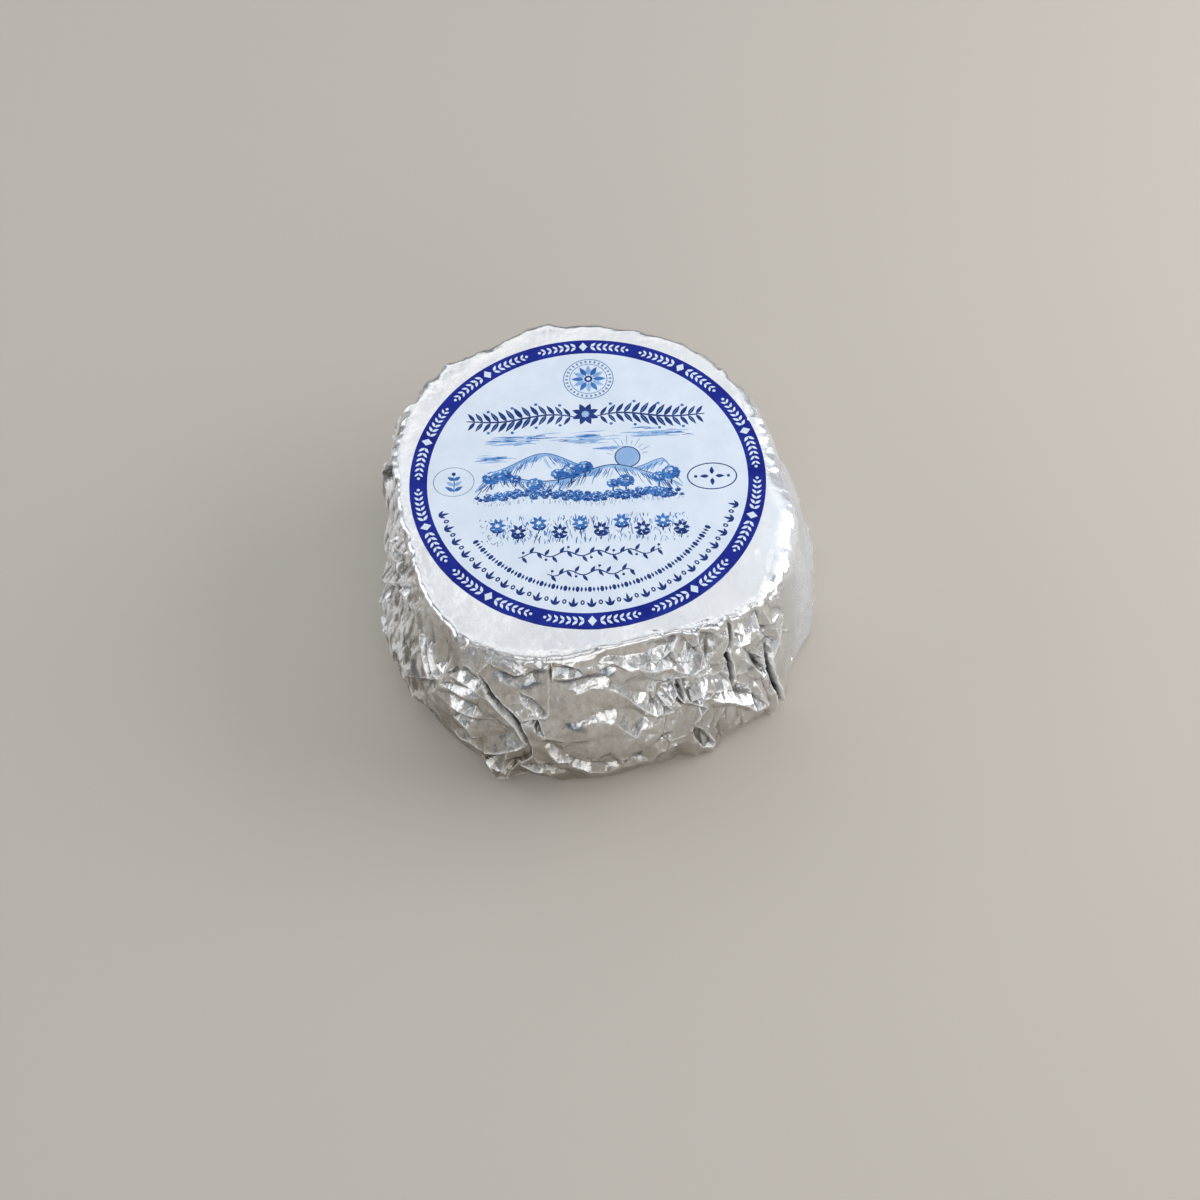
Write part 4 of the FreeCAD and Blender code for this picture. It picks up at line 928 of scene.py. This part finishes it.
def draw_meadow():
    rnd = np.random.RandomState(44)
    for i in range(360):
        x, y = rnd.uniform(-37, 34), rnd.uniform(-27.4, -16.6)
        n, lean = rnd.uniform(1.0, 2.9) * (1 - (abs(x) / 46) ** 2), rnd.uniform(-.9, .9)
        prints.append((stroke([(x, y), (x + lean * .3, y + n * .6), (x + lean, y + n)], rnd.uniform(.26, .5)), (BLUE, PALE, GREY, PALE, NAVY, BLUE)[i % 6]))
    for i, (x, y) in enumerate(((-31, -18.6), (-24, -21.3), (-17, -18.0), (-10, -21.6), (-3, -18.4), (4, -21.2), (11, -18.1), (18, -21.4), (25, -18.6), (31, -21.6))):
        prints.append((stroke([(x, y), (x + .4, y - 2), (x - .2, y - 4.4)], .5, .8), NAVY))
        for lean in (150, 30):
            prints.append((leaf(x + .1, y - 3.0, 3.0, 1.2, lean), NAVY))
        for j in range(7):
            a_, b_ = round_about(.45, j * 51.4 + 11 * i)
            prints.append((leaf(x + a_, y + b_, 2.6, 1.4, j * 51.4 + 11 * i, 3), (BLUE, NAVY)[i % 2]))
        prints.append((blob(x, y, .72, None, 0, 9), PAPER))


def draw_ovals():
    loop(-45.8, .4, 7.1, 6.2, .26, GREY, PAPER)
    prints.append((stroke([(-45.8, -4.4), (-45.6, -.6), (-45.8, 3.2)], .4), NAVY))
    for i in range(3):
        for lean in (34, 146):
            prints.append((leaf(-45.7, -3.6 + 2.3 * i, 3.7 - .5 * i, 1.5, lean), PALE if i % 2 else BLUE))
    prints.append((blob(-45.8, 3.7, .75, None, 0, 8), NAVY))
    loop(42.6, -1.0, 8.6, 5.7, .46, NAVY, PAPER)
    for i in range(4):
        prints.append((leaf(42.6 + 1.1 * math.cos(math.radians(i * 90)), -1.0 + .8 * math.sin(math.radians(i * 90)), 3.2, 1.5, i * 90), NAVY))
    for dx in (-5.6, 5.6):
        prints.append((blob(42.6 + dx, -1.0, .62, None, 0, 8), NAVY))


def draw_scrolls():
    """Two running vines."""
    for y0, half, size in ((-31.0, 24.0, 1.0), (-38.8, 14.5, 0.95)):
        u = np.linspace(-half, half, int(half * 3))
        wave = size * np.sin(u / half * math.pi * (4.5 if half > 20 else 3))
        prints.append((stroke(np.stack([u, y0 + wave], 1), .5, .6), NAVY))
        n = int(half * 2 / 2.5)
        for i in range(n):
            x = -half + (i + .5) * half * 2 / n
            y = y0 + np.interp(x, u, wave)
            up = 1 if i % 2 else -1
            prints.append((leaf(x, y, 3.1, 1.2, up * 58, 4), NAVY))
            if i % 3 == 0:
                prints.append((blob(x + .4, y - up * 1.7, .52, None, 0, 8), NAVY))
                prints.append((stroke([(x, y), (x + .35, y - up * 1.5)], .26), NAVY))


def draw_arcs():
    """Rows of beads and sprigs on two arcs along the bottom."""
    for i in range(70):
        at = -147 + 118 * i / 69
        x, y = round_about(45.6, at)
        prints.append((blob(x, y, .46 if i % 3 else .7, 1.15, at + 90, 4 if i % 3 else 8), NAVY))
    for i in range(45):
        at = -165 + 150 * i / 44
        x, y = round_about(50.8, at)
        if i % 2:
            prints.append((blob(x, y, .78, 1.0, at + 90, 8), NAVY))
            prints.append((blob(x, y, .3, .42, at + 90, 6), PAPER))
            continue
        x, y = round_about(49.1 + 3.6, at)
        for lean, length in ((-90, 3.9), (-52, 2.7), (-128, 2.7)):
            prints.append((leaf(x, y, length, 1.05, at - 90 + lean + 0, 4), NAVY))


def make_label():
    for draw in (draw_ring, draw_rosette, draw_garland, draw_hills, draw_meadow, draw_ovals, draw_scrolls, draw_arcs):
        draw()
    points, lines = [], []
    for outline, _ in prints:
        first, n = len(points), len(outline)
        lines += [(first + i, first + (i + 1) % n) for i in range(n)]
        points += [Vector((float(p[0]), float(p[1]))) for p in outline]
    for i in range(-25, 26):
        for j in range(-25, 26):
            x, y = (i + .5 * (j % 2)) * 2.4, j * 2.1
            if math.hypot(x, y) < LABEL_R - 0.8:
                points.append(Vector((x, y)))
    out = delaunay_2d_cdt(points, lines, [], 0, 1e-4, False)
    flat = np.array([(p[0], p[1]) for p in out[0]])
    tris = np.array([t for t in out[2] if len(t) == 3])
    mid = flat[tris].mean(1)
    ink = np.full(len(tris), PAPER)
    order = np.argsort(mid[:, 0])
    xs = mid[order, 0]
    for outline, colour in prints:
        # every triangle whose middle is inside the outline takes its ink
        o = np.asarray(outline)
        first, last = np.searchsorted(xs, (o[:, 0].min(), o[:, 0].max()))
        some = order[first:last]
        some = some[(mid[some, 1] > o[:, 1].min()) & (mid[some, 1] < o[:, 1].max())]
        if not len(some):
            continue
        px, py = mid[some, 0][:, None], mid[some, 1][:, None]
        x0, y0 = o[:, 0], o[:, 1]
        x1, y1 = np.roll(x0, -1), np.roll(y0, -1)
        cross = (x1 - x0) * (py - y0) - (px - x0) * (y1 - y0)
        wind = ((y0 <= py) & (y1 > py) & (cross > 0)).sum(1) - ((y0 > py) & (y1 <= py) & (cross < 0)).sum(1)
        ink[some[wind != 0]] = colour
    keep = list(zip(tris.tolist(), ink.tolist()))
    rad = np.hypot(flat[:, 0], flat[:, 1])
    # the paper lies close, with a faint cockle
    wave = (0.05 * np.sin(flat[:, 0] / 6.3 + 1.1) * np.cos(flat[:, 1] / 7.9) + 0.04 * np.sin((flat[:, 0] + flat[:, 1]) / 4.1))
    up = TOP_Z + 0.24 + wave * np.clip((LABEL_R - rad) / 6, 0, 1)
    top = np.stack([LABEL_AT[0] + flat[:, 0], LABEL_AT[1] + flat[:, 1], up], 1)
    edge = {}
    for t, _ in keep:
        for p, q in ((t[0], t[1]), (t[1], t[2]), (t[2], t[0])):
            if (q, p) in edge:
                del edge[(q, p)]
            else:
                edge[(p, q)] = True
    rim = sorted({p for e in edge for p in e})
    low = {p: len(top) + i for i, p in enumerate(rim)}
    under = np.array([(top[p, 0], top[p, 1], TOP_Z - 0.1) for p in rim])
    mid = len(top) + len(rim)
    allv = np.concatenate([top, under, [[LABEL_AT[0], LABEL_AT[1], TOP_Z - 0.1]]]) * MM
    fs = [list(t) for t, _ in keep]
    mats = [i for _, i in keep]
    for p, q in edge:
        fs += [[q, p, low[p], low[q]], [low[q], low[p], mid]]
        mats += [RING, PAPER]
    me = bpy.data.meshes.new("label")
    me.from_pydata(allv.tolist(), [], fs)
    me.validate()
    me.polygons.foreach_set("material_index", mats[:len(me.polygons)])
    me.shade_smooth()
    me.set_sharp_from_angle(angle=math.radians(40))
    return me


INKS = (("paper", (0.665, 0.745, 0.845), (0.725, 0.800, 0.890)), ("ring_blue", (0.004, 0.012, 0.205), (0.010, 0.026, 0.29)),
        ("navy", (0.005, 0.026, 0.155), (0.018, 0.050, 0.225)), ("mid_blue", (0.022, 0.120, 0.40), (0.060, 0.210, 0.56)),
        ("pale_blue", (0.22, 0.39, 0.66), (0.35, 0.52, 0.76)), ("grey_blue", (0.13, 0.20, 0.36), (0.22, 0.30, 0.46)))


def print_material(name, low, high):
    m, nt, bsdf = material("label_" + name)
    place = nt.nodes.new("ShaderNodeTexCoord").outputs["Object"]
    tone = mixed(nt, spread(nt, noise(nt, place, 130.0, 4.0, 0.6), 0.35, 0.65, 0, 1), low + (1,), high + (1,))
    link(nt, tone, bsdf.inputs["Base Color"])
    link(nt, spread(nt, noise(nt, place, 60.0, 2.0), 0.3, 0.7, 0.36, 0.52), bsdf.inputs["Roughness"])
    bsdf.inputs["Specular IOR Level"].default_value = 0.12
    bumped(nt, bsdf, [(noise(nt, place, 260.0, 3.0), 0.20, 0.0004), (noise(nt, place, 2200.0, 2.0), 0.12, 0.0001)])
    return m


label = bpy.data.objects.new("label", make_label())
bpy.context.collection.objects.link(label)
for ink in INKS:
    label.data.materials.append(print_material(*ink))
print("label faces", len(label.data.polygons))

# ------------------------------------------------------------------ floor, light, camera
fm, fnt, fb = material("floor")
fb.inputs["Base Color"].default_value = (0.52, 0.475, 0.42, 1)
fb.inputs["Roughness"].default_value = 0.8
bpy.ops.mesh.primitive_plane_add(size=6.0, location=(0, 0, 0))
floor = bpy.context.object
floor.name = "floor"
floor.data.materials.append(fm)

world = bpy.data.worlds.new("studio")
bpy.context.scene.world = world
world.use_nodes = True
bg = world.node_tree.nodes["Background"]
sky = world.node_tree
way = sky.nodes.new("ShaderNodeTexCoord").outputs["Generated"]
cloudy = noise(sky, way, 2.2, 2.0)
link(sky, spread(sky, cloudy, 0.36, 0.64, 0.12, 0.66), bg.inputs["Strength"])
link(sky, mixed(sky, spread(sky, cloudy, 0.36, 0.60, 0.0, 1.0), (0.74, 0.87, 1.06, 1), (1.0, 0.985, 0.965, 1)), bg.inputs["Color"])


def area(name, at, target, sx, sy, power, color=(1, 1, 1)):
    light = bpy.data.lights.new(name, "AREA")
    light.shape = "RECTANGLE"
    light.size, light.size_y = sx, sy
    light.energy = power
    light.color = color
    ob = bpy.data.objects.new(name, light)
    bpy.context.collection.objects.link(ob)
    ob.location = at
    ob.rotation_euler = (Vector(target) - Vector(at)).to_track_quat("-Z", "Y").to_euler()
    return ob


def softbox(name, at, sx, sy, radiance, color=(1, 1, 1)):
    return area(name, at, (0, 0, 0.03), sx, sy, radiance * math.pi * sx * sy, color)


softbox("key", (0.10, 0.95, 1.45), 2.8, 2.1, 0.60, (0.94, 0.98, 1.03))
softbox("right", (0.84, 0.14, 0.52), 0.85, 0.62, 3.3)
softbox("front", (0.30, -1.60, 0.55), 2.2, 0.8, 1.05)
softbox("high", (0.15, -0.85, 1.55), 1.3, 0.7, 0.8)
softbox("left", (-1.05, 0.16, 0.46), 1.1, 0.7, 1.15, (0.94, 0.98, 1.03))
bpy.context.scene.view_settings.view_transform = "Standard"

PX = 2200.0
TILT, ROLL = math.radians(56.9), math.radians(2.1)
up = np.array([0, math.cos(TILT), math.sin(TILT)])
fw = np.array([0, math.sin(TILT), -math.cos(TILT)])
rt = np.array([1.0, 0, 0])
rz = np.array([[math.cos(ROLL), -math.sin(ROLL), 0], [math.sin(ROLL), math.cos(ROLL), 0], [0, 0, 1]])
w2c = np.stack([rz @ rt, rz @ fw, rz @ up], 1)
ray = np.array([(587.5 - 600) / PX, -(478.5 - 600) / PX, -1.0])
ray /= np.linalg.norm(ray)
at = np.array([LABEL_AT[0], LABEL_AT[1], H]) * MM - w2c.T @ (ray * PX / 2.918 * MM)
cam = bpy.data.cameras.new("camera")
cam.lens, cam.sensor_width = PX * 36.0 / 1200.0, 36.0
camera = bpy.data.objects.new("camera", cam)
bpy.context.collection.objects.link(camera)
mw = np.eye(4)
mw[:3, :3] = w2c.T
mw[:3, 3] = at
camera.matrix_world = Matrix(mw.tolist())
bpy.context.scene.camera = camera

# ------------------------------------------------------------------ the frame
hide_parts("foil_wrapped_wheel")
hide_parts("paper_label")
for piece, slot in ((foil, "foil"), (label, "label_paper")):
    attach(piece, "root")
